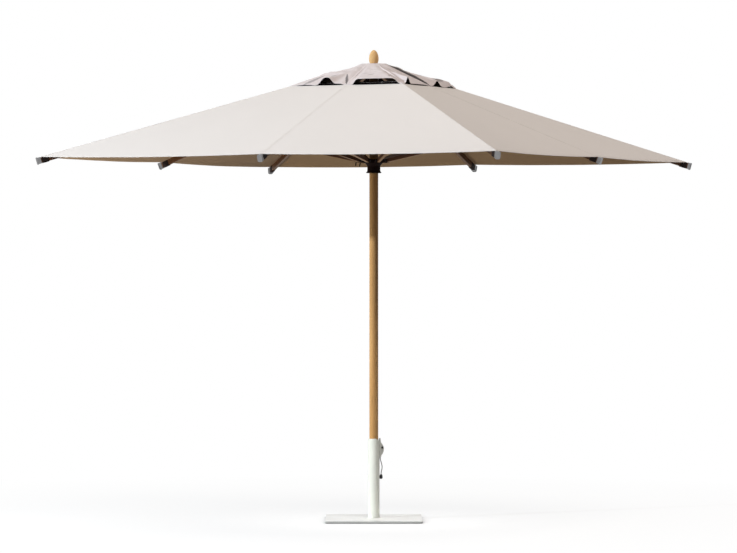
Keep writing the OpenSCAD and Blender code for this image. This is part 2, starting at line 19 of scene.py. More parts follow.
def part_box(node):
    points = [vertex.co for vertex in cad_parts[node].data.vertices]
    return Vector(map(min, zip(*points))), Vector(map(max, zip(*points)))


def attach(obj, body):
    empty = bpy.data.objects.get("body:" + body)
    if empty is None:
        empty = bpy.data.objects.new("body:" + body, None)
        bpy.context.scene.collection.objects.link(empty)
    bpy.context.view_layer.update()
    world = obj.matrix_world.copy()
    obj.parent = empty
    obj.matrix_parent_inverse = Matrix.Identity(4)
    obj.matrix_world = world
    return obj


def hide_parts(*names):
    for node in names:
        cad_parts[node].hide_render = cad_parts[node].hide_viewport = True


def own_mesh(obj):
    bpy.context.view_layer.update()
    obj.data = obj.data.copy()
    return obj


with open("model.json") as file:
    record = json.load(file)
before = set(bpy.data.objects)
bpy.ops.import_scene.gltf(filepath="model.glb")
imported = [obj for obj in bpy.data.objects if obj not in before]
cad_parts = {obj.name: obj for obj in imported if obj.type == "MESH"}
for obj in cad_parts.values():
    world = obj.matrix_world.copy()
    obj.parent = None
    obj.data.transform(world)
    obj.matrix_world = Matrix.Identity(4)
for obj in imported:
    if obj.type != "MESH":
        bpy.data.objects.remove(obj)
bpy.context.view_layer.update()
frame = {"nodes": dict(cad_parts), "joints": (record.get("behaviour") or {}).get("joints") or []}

log = logging.getLogger("umbrella")
Color = tuple[float, float, float]
Shape = tuple[list[Vector], list[tuple[int, ...]]]
Profile = tuple[tuple[float, float], ...]
RIB_NUMBERS = range(1, 9)
RIB_STEP = math.radians(45)
LOCK_AZIMUTH = math.radians(45)
WHITE = (1.0, 1.0, 1.0, 1.0)


class Slot(Enum):
    """Material slots of the record that the new pieces stand for; no piece here reads them."""

    CANVAS = "canvas"
    CORD = "cord_grey"
    WEBBING = "webbing"


class Hold(Enum):
    """How a sheet of cloth is held."""

    STRETCHED = "stretched"
    DRAPED = "draped"


class Side(Enum):
    """The two halves of the cloth on a rib, as the sign of their turn about the mast."""

    LEFT = 1
    RIGHT = -1


class Val:
    """A shader socket whose arithmetic adds Math nodes."""

    def __init__(self, shader: "Shader", socket: bpy.types.NodeSocket) -> None:
        """Wraps a socket of a shader's tree."""
        self.shader = shader
        self.socket = socket

    def _math(self, operation: str, *values: "Val | float") -> "Val":
        """Adds a Math node.

        Args:
            operation: the node's operation.
            values: its inputs, in order.

        Returns:
            The node's result.
        """
        inputs = {i: v for i, v in enumerate(values)}
        return self.shader.node("ShaderNodeMath", {"operation": operation}, inputs).out(0)

    def __add__(self, other: "Val | float") -> "Val":
        """Sum."""
        return self._math("ADD", self, other)

    def __radd__(self, other: float) -> "Val":
        """Sum with a number first."""
        return self._math("ADD", other, self)

    def __sub__(self, other: "Val | float") -> "Val":
        """Difference."""
        return self._math("SUBTRACT", self, other)

    def __rsub__(self, other: float) -> "Val":
        """Difference with a number first."""
        return self._math("SUBTRACT", other, self)

    def __mul__(self, other: "Val | float") -> "Val":
        """Product."""
        return self._math("MULTIPLY", self, other)

    def __rmul__(self, other: float) -> "Val":
        """Product with a number first."""
        return self._math("MULTIPLY", other, self)

    def __truediv__(self, other: "Val | float") -> "Val":
        """Quotient."""
        return self._math("DIVIDE", self, other)

    def __pow__(self, other: float) -> "Val":
        """Power."""
        return self._math("POWER", self, other)

    def sin(self) -> "Val":
        """Sine of radians."""
        return self._math("SINE", self)

    def clamped(self) -> "Val":
        """The value held between zero and one."""
        return self._math("MINIMUM", self._math("MAXIMUM", self, 0.0), 1.0)


class Made:
    """A node just made, with its outputs as values."""

    def __init__(self, shader: "Shader", node: bpy.types.Node) -> None:
        """Wraps a node of a shader's tree."""
        self.shader = shader
        self.node = node

    def out(self, key: int | str) -> Val:
        """The output of that name or place, as a value."""
        return Val(self.shader, self.node.outputs[key])


class Shader:
    """Builds one material's node tree."""

    def __init__(self, name: str) -> None:
        """Makes an empty material of that name."""
        self.material = bpy.data.materials.new(name)
        self.material.use_nodes = True
        self.tree = self.material.node_tree
        self.tree.nodes.clear()

    def node(self, kind: str, settings: dict[str, object] | None = None,
             inputs: dict[int | str, object] | None = None) -> Made:
        """Makes a node, sets it up and links it.

        Args:
            kind: the node's type.
            settings: its own properties; "stops" is a ramp's list of place and colour.
            inputs: values or links of its sockets, by name or place.

        Returns:
            The node, wrapped.
        """
        node = self.tree.nodes.new(kind)
        for key, value in (settings or {}).items():
            if key == "stops":
                ramp = node.color_ramp
                while len(ramp.elements) < len(value):
                    ramp.elements.new(1.0)
                for element, (place, color) in zip(ramp.elements, value):
                    element.position = place
                    element.color = (*color, 1.0)
            else:
                setattr(node, key, value)
        for key, value in (inputs or {}).items():
            if isinstance(value, Val):
                self.tree.links.new(value.socket, node.inputs[key])
            else:
                node.inputs[key].default_value = value
        return Made(self, node)

    def local(self, place: Matrix | None = None, uv: bool = False) -> Val:
        """Coordinates for a pattern.

        Args:
            place: the pattern's own place in the frame, or None for the frame itself.
            uv: read the piece's own UV map, in metres, in place of Object coordinates.

        Returns:
            The coordinates, as a vector.
        """
        point = self.node("ShaderNodeTexCoord").out("UV" if uv else "Object")
        if place is None:
            return point
        inputs = {"Vector": point, "Location": place.to_translation(), "Rotation": place.to_euler()}
        return self.node("ShaderNodeMapping", {"vector_type": "TEXTURE"}, inputs).out(0)

    def stretched(self, point: Val, scale: Sequence[float]) -> Val:
        """The coordinates, scaled apart along each axis."""
        return self.node("ShaderNodeMapping", None, {"Vector": point, "Scale": tuple(scale)}).out(0)

    def noise(self, point: Val, scale: float, detail: float = 3.0, warp: float = 0.0) -> Val:
        """Smooth noise from zero to one.

        Args:
            point: the coordinates.
            scale: how many of its waves go in a unit.
            detail: how many finer layers it has.
            warp: how far it is twisted.

        Returns:
            The noise.
        """
        inputs = {"Vector": point, "Scale": scale, "Detail": detail, "Distortion": warp}
        return self.node("ShaderNodeTexNoise", None, inputs).out("Fac")

    def parts(self, point: Val) -> tuple[Val, Val, Val]:
        """The three parts of a vector."""
        split = self.node("ShaderNodeSeparateXYZ", None, {0: point})
        return split.out(0), split.out(1), split.out(2)

    def ramp(self, value: Val, stops: list[tuple[float, Color]]) -> Val:
        """A colour ramp over a value."""
        return self.node("ShaderNodeValToRGB", {"stops": stops}, {0: value}).out("Color")

    def tint(self, share: Val | float, one: Val | Color, other: Val | Color) -> Val:
        """A mix of two colours.

        Args:
            share: how much of the other colour.
            one: the first colour.
            other: the other colour.

        Returns:
            The mixed colour.
        """
        inputs = {"Factor": share,
                  6: one if isinstance(one, Val) else (*one, 1.0),
                  7: other if isinstance(other, Val) else (*other, 1.0)}
        return self.node("ShaderNodeMix", {"data_type": "RGBA"}, inputs).out(2)

    def bump(self, height: Val, depth: float, strength: float) -> Val:
        """A normal bent by a height field, whose full range is depth metres."""
        inputs = {"Height": height, "Distance": depth, "Strength": strength}
        return self.node("ShaderNodeBump", None, inputs).out(0)

    def surface(self, **sockets: object) -> bpy.types.Material:
        """Closes the tree with a Principled surface.

        Args:
            sockets: values and links by socket name, with spaces written as underscores.

        Returns:
            The finished material.
        """
        inputs = {name.replace("_", " "): value for name, value in sockets.items()}
        surface = self.node("ShaderNodeBsdfPrincipled", None, inputs)
        self.node("ShaderNodeOutputMaterial", None, {"Surface": surface.out(0)})
        return self.material


def scaled(color: Color, share: float) -> Color:
    """A colour made darker by a share of itself, or lighter, up to white."""
    return tuple(min(1.0, part * share) for part in color)


@dataclass(frozen=True)
class OiledWood:
    """Oiled hardwood with fine straight grain, painted darker as shade along some of its length.

    Each run of painted shade gives where along the grain the shade starts, where it is full and how
    deep it is. The painted lit underside gives a height, below which the wood is painted lighter as
    light on its lower face, and that lighter colour.
    """

    light: Color
    dark: Color
    roughness: float = 0.42
    grain_length: float = 9.0
    gloss: float = 0.2
    painted_shade_runs: tuple[tuple[float, float, float], ...] = ()
    painted_lit_underside: tuple[float, Color] | None = None

    def make(self, name: str, place: Matrix) -> bpy.types.Material:
        """The finish, with its grain along the X axis of a place.

        Args:
            name: the material's name.
            place: the piece's own frame.

        Returns:
            The material.
        """
        s = Shader(name)
        point = s.local(place)
        streaks = s.noise(s.stretched(point, (1.2, 46, 46)), 1.0, 4.0, 0.35)
        bands = s.noise(s.stretched(point, (0.8, 15, 15)), 1.0, 2.0, 0.8)
        pores = s.noise(s.stretched(point, (self.grain_length, 900, 900)), 1.0, 1.0)
        pits = (pores * 4.0 - 2.35).clamped()
        tone = (streaks * 0.65 + bands * 0.55 - 0.1).clamped()
        middle = tuple((a + b) / 2 for a, b in zip(self.light, self.dark))
        color = s.ramp(tone, [(0.28, self.dark), (0.5, middle), (0.74, self.light)])
        color = s.tint(pits * 0.45, color, scaled(self.dark, 0.45))
        along, _, up = s.parts(point)
        # Painted shade: along each run the wood darkens towards a deep brown.
        for start, full, depth in self.painted_shade_runs:
            share = ((along - start) / (full - start)).clamped() * depth
            color = s.tint(share, color, scaled(self.dark, 0.06))
        # Painted light: below that height the lower face is painted lighter, as lit from below.
        if self.painted_lit_underside:
            edge, pale = self.painted_lit_underside
            color = s.tint(((edge - up) / 0.001).clamped() * (0.75 + tone * 0.25), color, pale)
        normal = s.bump(streaks * 0.4 - pits * 0.6, 0.0004, 0.35)
        return s.surface(Base_Color=color, Roughness=self.roughness + bands * 0.16 + pits * 0.15,
                         Normal=normal, Specular_IOR_Level=self.gloss)


@dataclass(frozen=True)
class Crease:
    """The painted shade of a sharp fold in cloth, between two places on its UV map."""

    start: tuple[float, float]
    end: tuple[float, float]
    half_width: float
    depth: float

    def share(self, s: Shader, point: Val) -> Val:
        """How far the cloth is in the crease's shade, from nothing to the crease's depth.

        Args:
            s: the material being built.
            point: the place on the UV map.

        Returns:
            The share.
        """
        wander = (s.noise(point, 45.0, 2.0) - 0.5) * (0.8 * self.half_width)
        x, y, _ = s.parts(point)
        run = (self.end[0] - self.start[0], self.end[1] - self.start[1])
        length = run[0] ** 2 + run[1] ** 2
        along = (((x - self.start[0]) * run[0] + (y - self.start[1]) * run[1]) / length).clamped()
        off_x = x - along * run[0] - self.start[0] + wander
        off_y = y - along * run[1] - self.start[1]
        distance = (off_x * off_x + off_y * off_y) ** 0.5
        width = (along * (1.0 - along) * 3.2 + 0.2) * self.half_width
        return ((1.0 - distance / width) * 1.6).clamped() * self.depth


@dataclass(frozen=True)
class Canvas:
    """Closely woven outdoor canvas, plain weave, on a UV map in metres."""

    color: Color
    thread: float = 0.0011
    mottle: float = 0.035
    roughness: float = 0.86
    sheen: float = 0.12
    gloss: float = 0.2

    def make(self, name: str, creases: Sequence["Crease"] = ()) -> bpy.types.Material:
        """The finish, as a material.

        Args:
            name: the material's name.
            creases: the sharp folds whose shade is painted on the cloth.
        """
        s = Shader(name)
        point = s.local(uv=True)
        across, along, _ = s.parts(point)
        turn = math.pi / self.thread
        weave = (across * turn).sin() * (along * turn).sin()
        slubs = s.noise(s.stretched(point, (14, 260, 1)), 1.0, 2.0)
        cloud = s.noise(point, 2.6, 3.0)
        fade = (cloud - 0.5) * (2 * self.mottle) + (slubs - 0.5) * 0.05 + weave * 0.012
        color = s.tint((0.5 + fade * 4.0).clamped(), scaled(self.color, 0.93),
                       scaled(self.color, 1.06))
        # Painted shade of each crease, darkening the cloth towards a tenth of its colour.
        for crease in creases:
            color = s.tint(crease.share(s, point), color, scaled(self.color, 0.1))
        height = weave * 0.5 + slubs * 0.35 + s.noise(point, 34.0, 2.0) * 0.5
        return s.surface(Base_Color=color, Roughness=self.roughness + slubs * 0.08,
                         Normal=s.bump(height, 0.0005, 0.3), Sheen_Weight=self.sheen,
                         Sheen_Roughness=0.6, Specular_IOR_Level=self.gloss)


@dataclass(frozen=True)
class Lacquer:
    """Powder-coated steel with a faint orange peel and a little dust near the ground.

    Its painted shade height, or None, is the height below which the finish is painted darker as
    shade.
    """

    color: Color
    dust: Color = (0.66, 0.65, 0.61)
    roughness: float = 0.24
    painted_shade_below: float | None = None

    def make(self, name: str) -> bpy.types.Material:
        """The finish, as a material of that name.

        Args:
            name: the material's name.

        Returns:
            The material.
        """
        s = Shader(name)
        point = s.local()
        _, _, height = s.parts(point)
        peel = s.noise(point, 620.0, 2.0)
        cloud = s.noise(point, 7.0, 4.0)
        low = (1.0 - height / 0.09).clamped()
        grime = (low * (cloud * 1.6 - 0.35).clamped() * 0.4).clamped()
        scuffs = (s.noise(s.stretched(point, (30, 30, 200)), 1.0, 3.0) * 8.0 - 5.2).clamped() * 0.18
        color = s.tint((grime + scuffs).clamped(), self.color, self.dust)
        # Painted shade: the finish below that height, the plate's edge, is painted darker.
        if self.painted_shade_below is not None:
            edge_shade = ((self.painted_shade_below - height) / 0.0012).clamped() * (cloud * 0.3 + 0.7)
            color = s.tint(edge_shade, color, scaled(self.color, 0.54))
        return s.surface(Base_Color=color, Roughness=self.roughness + cloud * 0.12 + grime * 0.3,
                         Normal=s.bump(peel, 0.0002, 0.25), Coat_Weight=0.12, Coat_Roughness=0.15)


@dataclass(frozen=True)
class BrushedMetal:
    """Metal with fine brushing and slight dulling."""

    color: Color
    roughness: float = 0.3

    def make(self, name: str) -> bpy.types.Material:
        """The finish, as a material of that name.

        Args:
            name: the material's name.

        Returns:
            The material.
        """
        s = Shader(name)
        point = s.local()
        lines = s.noise(s.stretched(point, (2400, 2400, 60)), 1.0, 2.0)
        dull = s.noise(point, 60.0, 3.0)
        worn = (dull * 1.4 - 0.3).clamped() * 0.6
        color = s.tint(worn, self.color, scaled(self.color, 0.72))
        roughness = self.roughness + dull * 0.16 + lines * 0.08
        return s.surface(Base_Color=color, Metallic=1.0, Roughness=roughness,
                         Normal=s.bump(lines, 0.00008, 0.25))


@dataclass(frozen=True)
class Moulded:
    """Moulded plastic or resin with a fine spark-eroded grain."""

    color: Color
    roughness: float = 0.48
    gloss: float = 0.5

    def make(self, name: str) -> bpy.types.Material:
        """The finish, as a material of that name.

        Args:
            name: the material's name.

        Returns:
            The material.
        """
        s = Shader(name)
        point = s.local()
        grain = s.noise(point, 1500.0, 2.0)
        wear = s.noise(point, 28.0, 4.0)
        color = s.tint((wear * 1.8 - 0.6).clamped() * 0.35, self.color,
                       tuple(min(1.0, c * 1.8 + 0.01) for c in self.color))
        return s.surface(Base_Color=color, Roughness=self.roughness + wear * 0.14,
                         Normal=s.bump(grain, 0.0001, 0.3), Specular_IOR_Level=self.gloss)


@dataclass(frozen=True)
class Braid:
    """Braided or woven strand, crossed at a slant over a UV map in metres."""

    color: Color
    pitch: float
    slant: float = 1.0

    def make(self, name: str) -> bpy.types.Material:
        """The finish, as a material of that name.

        Args:
            name: the material's name.

        Returns:
            The material.
        """
        s = Shader(name)
        point = s.local(uv=True)
        across, along, _ = s.parts(point)
        turn = 2 * math.pi / self.pitch
        one = ((across * self.slant + along) * turn).sin()
        other = ((across * self.slant - along) * turn).sin()
        strands = one * other * 0.5 + 0.5
        fuzz = s.noise(point, 3000.0, 2.0)
        share = (strands * 0.8 + fuzz * 0.3).clamped()
        color = s.tint(share, scaled(self.color, 0.5), self.color)
        return s.surface(Base_Color=color, Roughness=0.8 + fuzz * 0.12,
                         Normal=s.bump(strands, 0.0006, 0.6), Specular_IOR_Level=0.25)


@dataclass(frozen=True)
class Paving:
    """The pale studio floor, white but for the object's shadow and soon lost in white.

    Light bounces off it as off the grey `bounce`. The camera sees the grey `seen` with a glow of
    `lift`, which dims as a painted contact shadow within `contact` of the object, and fades to
    white from `near` to `far`.
    """

    bounce: float = 0.22
    seen: float = 0.25
    lift: float = 0.8
    near: float = 1.2
    far: float = 4.5
    contact: float = 0.13

    def make(self, name: str) -> bpy.types.Material:
        """The finish, as a material of that name.

        Args:
            name: the material's name.

        Returns:
            The material.
        """
        s = Shader(name)
        path = s.node("ShaderNodeLightPath")
        looks = (path.out("Is Camera Ray") + path.out("Is Glossy Ray")
                 + path.out("Is Transmission Ray")).clamped()
        away = s.node("ShaderNodeVectorMath", {"operation": "LENGTH"}, {0: s.local()}).out("Value")
        lost = ((away - self.near) / (self.far - self.near)).clamped()
        plain = s.node("ShaderNodeBsdfDiffuse", None, {"Color": (self.bounce,) * 3 + (1.0,)})
        pale = s.node("ShaderNodeBsdfDiffuse", None, {"Color": (self.seen,) * 3 + (1.0,)})
        # Painted contact shadow: the floor's glow dims near the object.
        contact_shadow_ao = s.node("ShaderNodeAmbientOcclusion", {"samples": 16}, {"Distance": self.contact})
        strength = contact_shadow_ao.out("AO") * self.lift
        glow = s.node("ShaderNodeEmission", None, {"Color": WHITE, "Strength": strength})
        lit = s.node("ShaderNodeAddShader", None, {0: pale.out(0), 1: glow.out(0)})
        white = s.node("ShaderNodeEmission", None, {"Color": WHITE, "Strength": 1.0})
        fading = s.node("ShaderNodeMixShader", None, {0: lost, 1: lit.out(0), 2: white.out(0)})
        mixed = s.node("ShaderNodeMixShader", None, {0: looks, 1: plain.out(0), 2: fading.out(0)})
        s.node("ShaderNodeOutputMaterial", None, {"Surface": mixed.out(0)})
        return s.material


# Mast wood, painted darker as shade above the runner and near the crown.
HONEY_WOOD = OiledWood((0.68, 0.405, 0.165), (0.39, 0.19, 0.062),
                       painted_shade_runs=((2.2, 2.26, 0.75), (2.62, 2.7, 0.97)))
# Rib and strut wood: the mast's timber painted far darker as shade under the canopy, the ribs with
# more painted shade towards their inner ends, both with a painted lit lower face.
SHADED_WOOD = OiledWood((0.19, 0.09, 0.04), (0.075, 0.032, 0.015),
                        painted_shade_runs=((0.62, 0.42, 0.9), (0.36, 0.30, 0.9)),
                        painted_lit_underside=(-0.0155, (0.24, 0.13, 0.065)))
STRUT_WOOD = OiledWood((0.115, 0.052, 0.026), (0.05, 0.02, 0.011),
                       painted_lit_underside=(-0.0085, (0.44, 0.25, 0.12)))
PALE_WOOD = OiledWood((0.84, 0.56, 0.27), (0.60, 0.34, 0.135), roughness=0.36)
CLOTH = Canvas((0.745, 0.70, 0.665))
# The canopy's underside: its own cloth painted darker and warmer as shade.
CANVAS_UNDERSIDE_PAINTED_SHADE = Canvas((0.50, 0.315, 0.165))
# Near-black painted shade, for the band under the cap's hem and for the cap's underside.
VENT_PAINTED_SHADE = Canvas((0.008, 0.005, 0.005), sheen=0.0, gloss=0.0)
VENT_CLOTH = Canvas((0.68, 0.61, 0.60), mottle=0.15)
THREAD = Braid((0.97, 0.92, 0.87), 0.0008)
# One white lacquer: the plate's copy is painted lighter as light on its top, and the lock's copy is
# painted darker as shade.
WHITE_LACQUER = Lacquer((0.80, 0.81, 0.73))
PLATE_LACQUER = Lacquer((0.90, 0.895, 0.865), painted_shade_below=0.0128)
LOCK_LACQUER = Lacquer((0.66, 0.655, 0.60))
CAP_METAL = BrushedMetal((0.30, 0.30, 0.305), 0.46)
BRIGHT_STEEL = BrushedMetal((0.68, 0.69, 0.71))
BLACK_STEEL = BrushedMetal((0.045, 0.04, 0.04), 0.5)
DARK_RESIN = Moulded((0.014, 0.007, 0.006), 0.6, gloss=0.05)
BLACK_PLASTIC = Moulded((0.018, 0.018, 0.02), 0.4)
GREY_CORD = Braid((0.11, 0.11, 0.105), 0.0022)
DARK_WEBBING = Braid((0.022, 0.014, 0.012), 0.0016)


def turned(azimuth: float, out: float, side: float, height: float) -> Vector:
    """A point in a frame turned about the mast.

    Args:
        azimuth: the frame's turn.
        out: distance outwards.
        side: distance sideways, to the left when looking outwards.
        height: height above the ground.

    Returns:
        The point in the shared frame.
    """
    c, s = math.cos(azimuth), math.sin(azimuth)
    return Vector((out * c - side * s, out * s + side * c, height))


def to_side(azimuth: float) -> float:
    """A square's half side over its reach in a direction about its middle."""
    return max(abs(math.cos(azimuth)), abs(math.sin(azimuth)))


def interpolated(profile: Profile, share: float) -> float:
    """A profile's value at a share, on the straight lines between its points."""
    return float(np.interp(share, [p[0] for p in profile], [p[1] for p in profile]))


def arc(centre: tuple[float, float], radius: float, start: int,
        step: int) -> list[tuple[float, float, float, float]]:
    """A quarter turn about a centre.

    Args:
        centre: the centre's place.
        radius: the arc's radius.
        start: where it starts, in degrees.
        step: degrees between its points.

    Returns:
        Each point's place and its direction from the centre.
    """
    points = []
    for turn in range(start, start + 91, step):
        c, s = math.cos(math.radians(turn)), math.sin(math.radians(turn))
        points.append((centre[0] + radius * c, centre[1] + radius * s, c, s))
    return points


def add_piece(name: str, shape: Shape, materials: Sequence[bpy.types.Material],
              face_slots: Sequence[int] | None = None,
              uv: Sequence[tuple[float, float]] | None = None,
              crease: float = 30.0) -> bpy.types.Object:
    """Makes a mesh object at the origin, with faces outwards.

    Args:
        name: the piece's name.
        shape: its vertices and faces.
        materials: its materials, in slot order.
        face_slots: each face's material slot, or None for the first.
        uv: each vertex's place on the cloth, in metres.
        crease: edges that bend more than this many degrees are shaded sharp.

    Returns:
        The new object.
    """
    mesh = bpy.data.meshes.new(name)
    mesh.from_pydata([tuple(v) for v in shape[0]], [], shape[1])
    for material in materials:
        mesh.materials.append(material)
    if face_slots is not None:
        mesh.polygons.foreach_set("material_index", list(face_slots))
    if uv is not None:
        layer = mesh.uv_layers.new(name="UVMap")
        corners = np.zeros(len(mesh.loops), np.int32)
        mesh.loops.foreach_get("vertex_index", corners)
        layer.data.foreach_set("uv", np.asarray(uv, np.float32)[corners].ravel())
    grown = bmesh.new()
    grown.from_mesh(mesh)
    bmesh.ops.recalc_face_normals(grown, faces=grown.faces)
    grown.to_mesh(mesh)
    grown.free()
    mesh.shade_smooth()
    mesh.set_sharp_from_angle(angle=math.radians(crease))
    mesh.update()
    piece = bpy.data.objects.new(name, mesh)
    bpy.context.scene.collection.objects.link(piece)
    return piece


def shell(top: np.ndarray, under: np.ndarray, uv: np.ndarray,
          ring: bool = False) -> tuple[Shape, list[int], list[tuple[float, float]]]:
    """Closes two matching grids of points into a thin sheet.

    Args:
        top: the upper face's points, rows by columns by three.
        under: the lower face's points, of the same shape.
        uv: each point's place on the cloth, rows by columns by two.
        ring: whether the last row joins the first.

    Returns:
        The shape, each face's material slot (0 above, 1 below) and each vertex's UV.
    """
    rows, columns = top.shape[:2]
    points = [Vector(p) for grid in (top, under) for p in grid.reshape(-1, 3)]
    places = [tuple(p) for _ in range(2) for p in uv.reshape(-1, 2)]
    base = rows * columns
    faces: list[tuple[int, ...]] = []
    slots: list[int] = []
    for i in range(rows if ring else rows - 1):
        for j in range(columns - 1):
            a, b = i * columns + j, (i + 1) % rows * columns + j
            quad = (a, a + 1, b + 1, b)
            faces += [quad, tuple(base + q for q in reversed(quad))]
            slots += [0, 1]
    inner = [i * columns for i in range(rows)]
    outer = [i + columns - 1 for i in inner]
    if ring:
        edges = [*zip(inner, inner[1:] + inner[:1]), *zip(outer, outer[1:] + outer[:1])]
    else:
        rim = [*range(columns), *outer[1:-1], *range(outer[-1], inner[-1], -1), *inner[:0:-1]]
        edges = list(zip(rim, rim[1:] + rim[:1]))
    for a, b in edges:
        faces.append((b, a, a + base, b + base))
        slots.append(0)
    return (points, faces), slots, places


@dataclass(frozen=True)
class Rib:
    """One rib's line in the frame: its pivot, its direction and its body."""

    number: int
    azimuth: float
    to_corner: bool
    pivot: Vector
    along: Vector

    @property
    def body(self) -> str:
        """The body that the rib and its cloth ride on."""
        return f"rib_{self.number}"

    @property
    def joint(self) -> str:
        """The joint that folds the rib."""
        return f"rib_fold_{self.number}"

    @property
    def across(self) -> Vector:
        """The level direction across the rib."""
        return Vector((-math.sin(self.azimuth), math.cos(self.azimuth), 0.0))

    @property
    def place(self) -> Matrix:
        """The rib's own frame: X along it, Y across it, at its pivot."""
        up = self.along.cross(self.across)
        turn = Matrix((self.along, self.across, up)).transposed()
        return Matrix.Translation(self.pivot) @ turn.to_4x4()


@dataclass
class Linkage:
    """The ribs and struts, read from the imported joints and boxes."""

    slope: float = 0.0
    ribs: list[Rib] = field(default_factory=list)
    pivots: dict[str, Vector] = field(default_factory=dict)

    def read(self) -> "Linkage":
        """Reads the pivots and the rib lines from the frame.

        Returns:
            The linkage itself.
        """
        low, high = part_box("canopy_1")
        self.slope = (high.z - low.z) / (high.x - low.x)
        self.pivots = {joint["name"]: Vector(joint["pos_m"])
                       for joint in frame["joints"] if "pos_m" in joint}
        for number in RIB_NUMBERS:
            azimuth = RIB_STEP * (number - 1)
            to_corner = number % 2 == 0
            fall = self.slope / (math.sqrt(2) if to_corner else 1.0)
            along = turned(azimuth, 1.0, 0.0, -fall).normalized()
            pivot = self.pivots[f"rib_fold_{number}"]
            self.ribs.append(Rib(number, azimuth, to_corner, pivot, along))
        return self

    def strut_place(self, number: int) -> Matrix:
        """A strut's own frame: X from the runner's pin to the rib's pin.

        Args:
            number: the strut's number.

        Returns:
            The frame, at the runner's pin.
        """
        low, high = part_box(f"strut_pin_{number}")
        start = (low + high) / 2
        along = (self.pivots[f"strut_fold_{number}"] - start).normalized()
        across = self.ribs[number - 1].across
        turn = Matrix((along, across, along.cross(across))).transposed()
        return Matrix.Translation(start) @ turn.to_4x4()


@dataclass
class Stitching:
    """Rows of thread laid along seams by a geometry node tree."""

    pitch: float = 0.0075
    length: float = 0.0055
    width: float = 0.0011
    sides: int = 5

    def tree(self, material: bpy.types.Material) -> bpy.types.NodeTree:
        """Builds the tree that turns a seam's line into stitches.

        Args:
            material: the thread's finish.

        Returns:
            The tree, with the pitch, the length and the width as named inputs.
        """
        tree = bpy.data.node_groups.new("stitch_rows", "GeometryNodeTree")
        port = tree.interface
        port.new_socket("Geometry", in_out="INPUT", socket_type="NodeSocketGeometry")
        for name in ("Pitch", "Length", "Width"):
            port.new_socket(name, in_out="INPUT", socket_type="NodeSocketFloat")
        port.new_socket("Geometry", in_out="OUTPUT", socket_type="NodeSocketGeometry")
        add = tree.nodes.new
        link = tree.links.new
        source, sink = add("NodeGroupInput"), add("NodeGroupOutput")
        curve = add("GeometryNodeMeshToCurve")
        spaced = add("GeometryNodeResampleCurve")
        spaced.mode = "LENGTH"
        thread = add("GeometryNodeMeshCylinder")
        thread.inputs["Vertices"].default_value = self.sides
        thread.inputs["Radius"].default_value = 0.5
        thread.inputs["Depth"].default_value = 1.0
        sized = add("GeometryNodeTransform")
        scale = add("ShaderNodeCombineXYZ")
        placed = add("GeometryNodeInstanceOnPoints")
        tangent = add("GeometryNodeInputTangent")
        aim = add("FunctionNodeAlignRotationToVector")
        aim.axis = "Z"
        real = add("GeometryNodeRealizeInstances")
        dress = add("GeometryNodeSetMaterial")
        dress.inputs["Material"].default_value = material
        link(source.outputs["Geometry"], curve.inputs[0])
        link(curve.outputs[0], spaced.inputs["Curve"])
        link(source.outputs["Pitch"], spaced.inputs["Length"])
        link(thread.outputs["Mesh"], sized.inputs["Geometry"])
        link(source.outputs["Width"], scale.inputs["X"])
        link(source.outputs["Width"], scale.inputs["Y"])
        link(source.outputs["Length"], scale.inputs["Z"])
        link(scale.outputs[0], sized.inputs["Scale"])
        link(spaced.outputs[0], placed.inputs["Points"])
        link(sized.outputs[0], placed.inputs["Instance"])
        link(tangent.outputs[0], aim.inputs["Vector"])
        link(aim.outputs[0], placed.inputs["Rotation"])
        link(placed.outputs[0], real.inputs[0])
        link(real.outputs[0], dress.inputs["Geometry"])
        link(dress.outputs[0], sink.inputs[0])
        return tree

    def sew(self, name: str, lines: list[list[Vector]],
            tree: bpy.types.NodeTree) -> bpy.types.Object:
        """Lays stitches along lines and bakes them to a plain mesh.

        Args:
            name: the piece's name.
            lines: the seams' lines.
            tree: the tree from tree().

        Returns:
            The stitches, as one mesh object.
        """
        mesh = bpy.data.meshes.new(name)
        points = [tuple(p) for line in lines for p in line]
        edges, start = [], 0
        for line in lines:
            edges += [(start + i, start + i + 1) for i in range(len(line) - 1)]
            start += len(line)
        mesh.from_pydata(points, edges, [])
        seed = bpy.data.objects.new(name, mesh)
        bpy.context.scene.collection.objects.link(seed)
        rows = seed.modifiers.new("rows", "NODES")
        rows.node_group = tree
        sizes = {"Pitch": self.pitch, "Length": self.length, "Width": self.width}
        for item in tree.interface.items_tree:
            if item.in_out == "INPUT" and item.name in sizes:
                rows[item.identifier] = sizes[item.name]
        seen = seed.evaluated_get(bpy.context.evaluated_depsgraph_get())
        baked = bpy.data.meshes.new_from_object(seen)
        seed.modifiers.remove(rows)
        seed.data = baked
        baked.name = name
        baked.shade_smooth()
        return seed


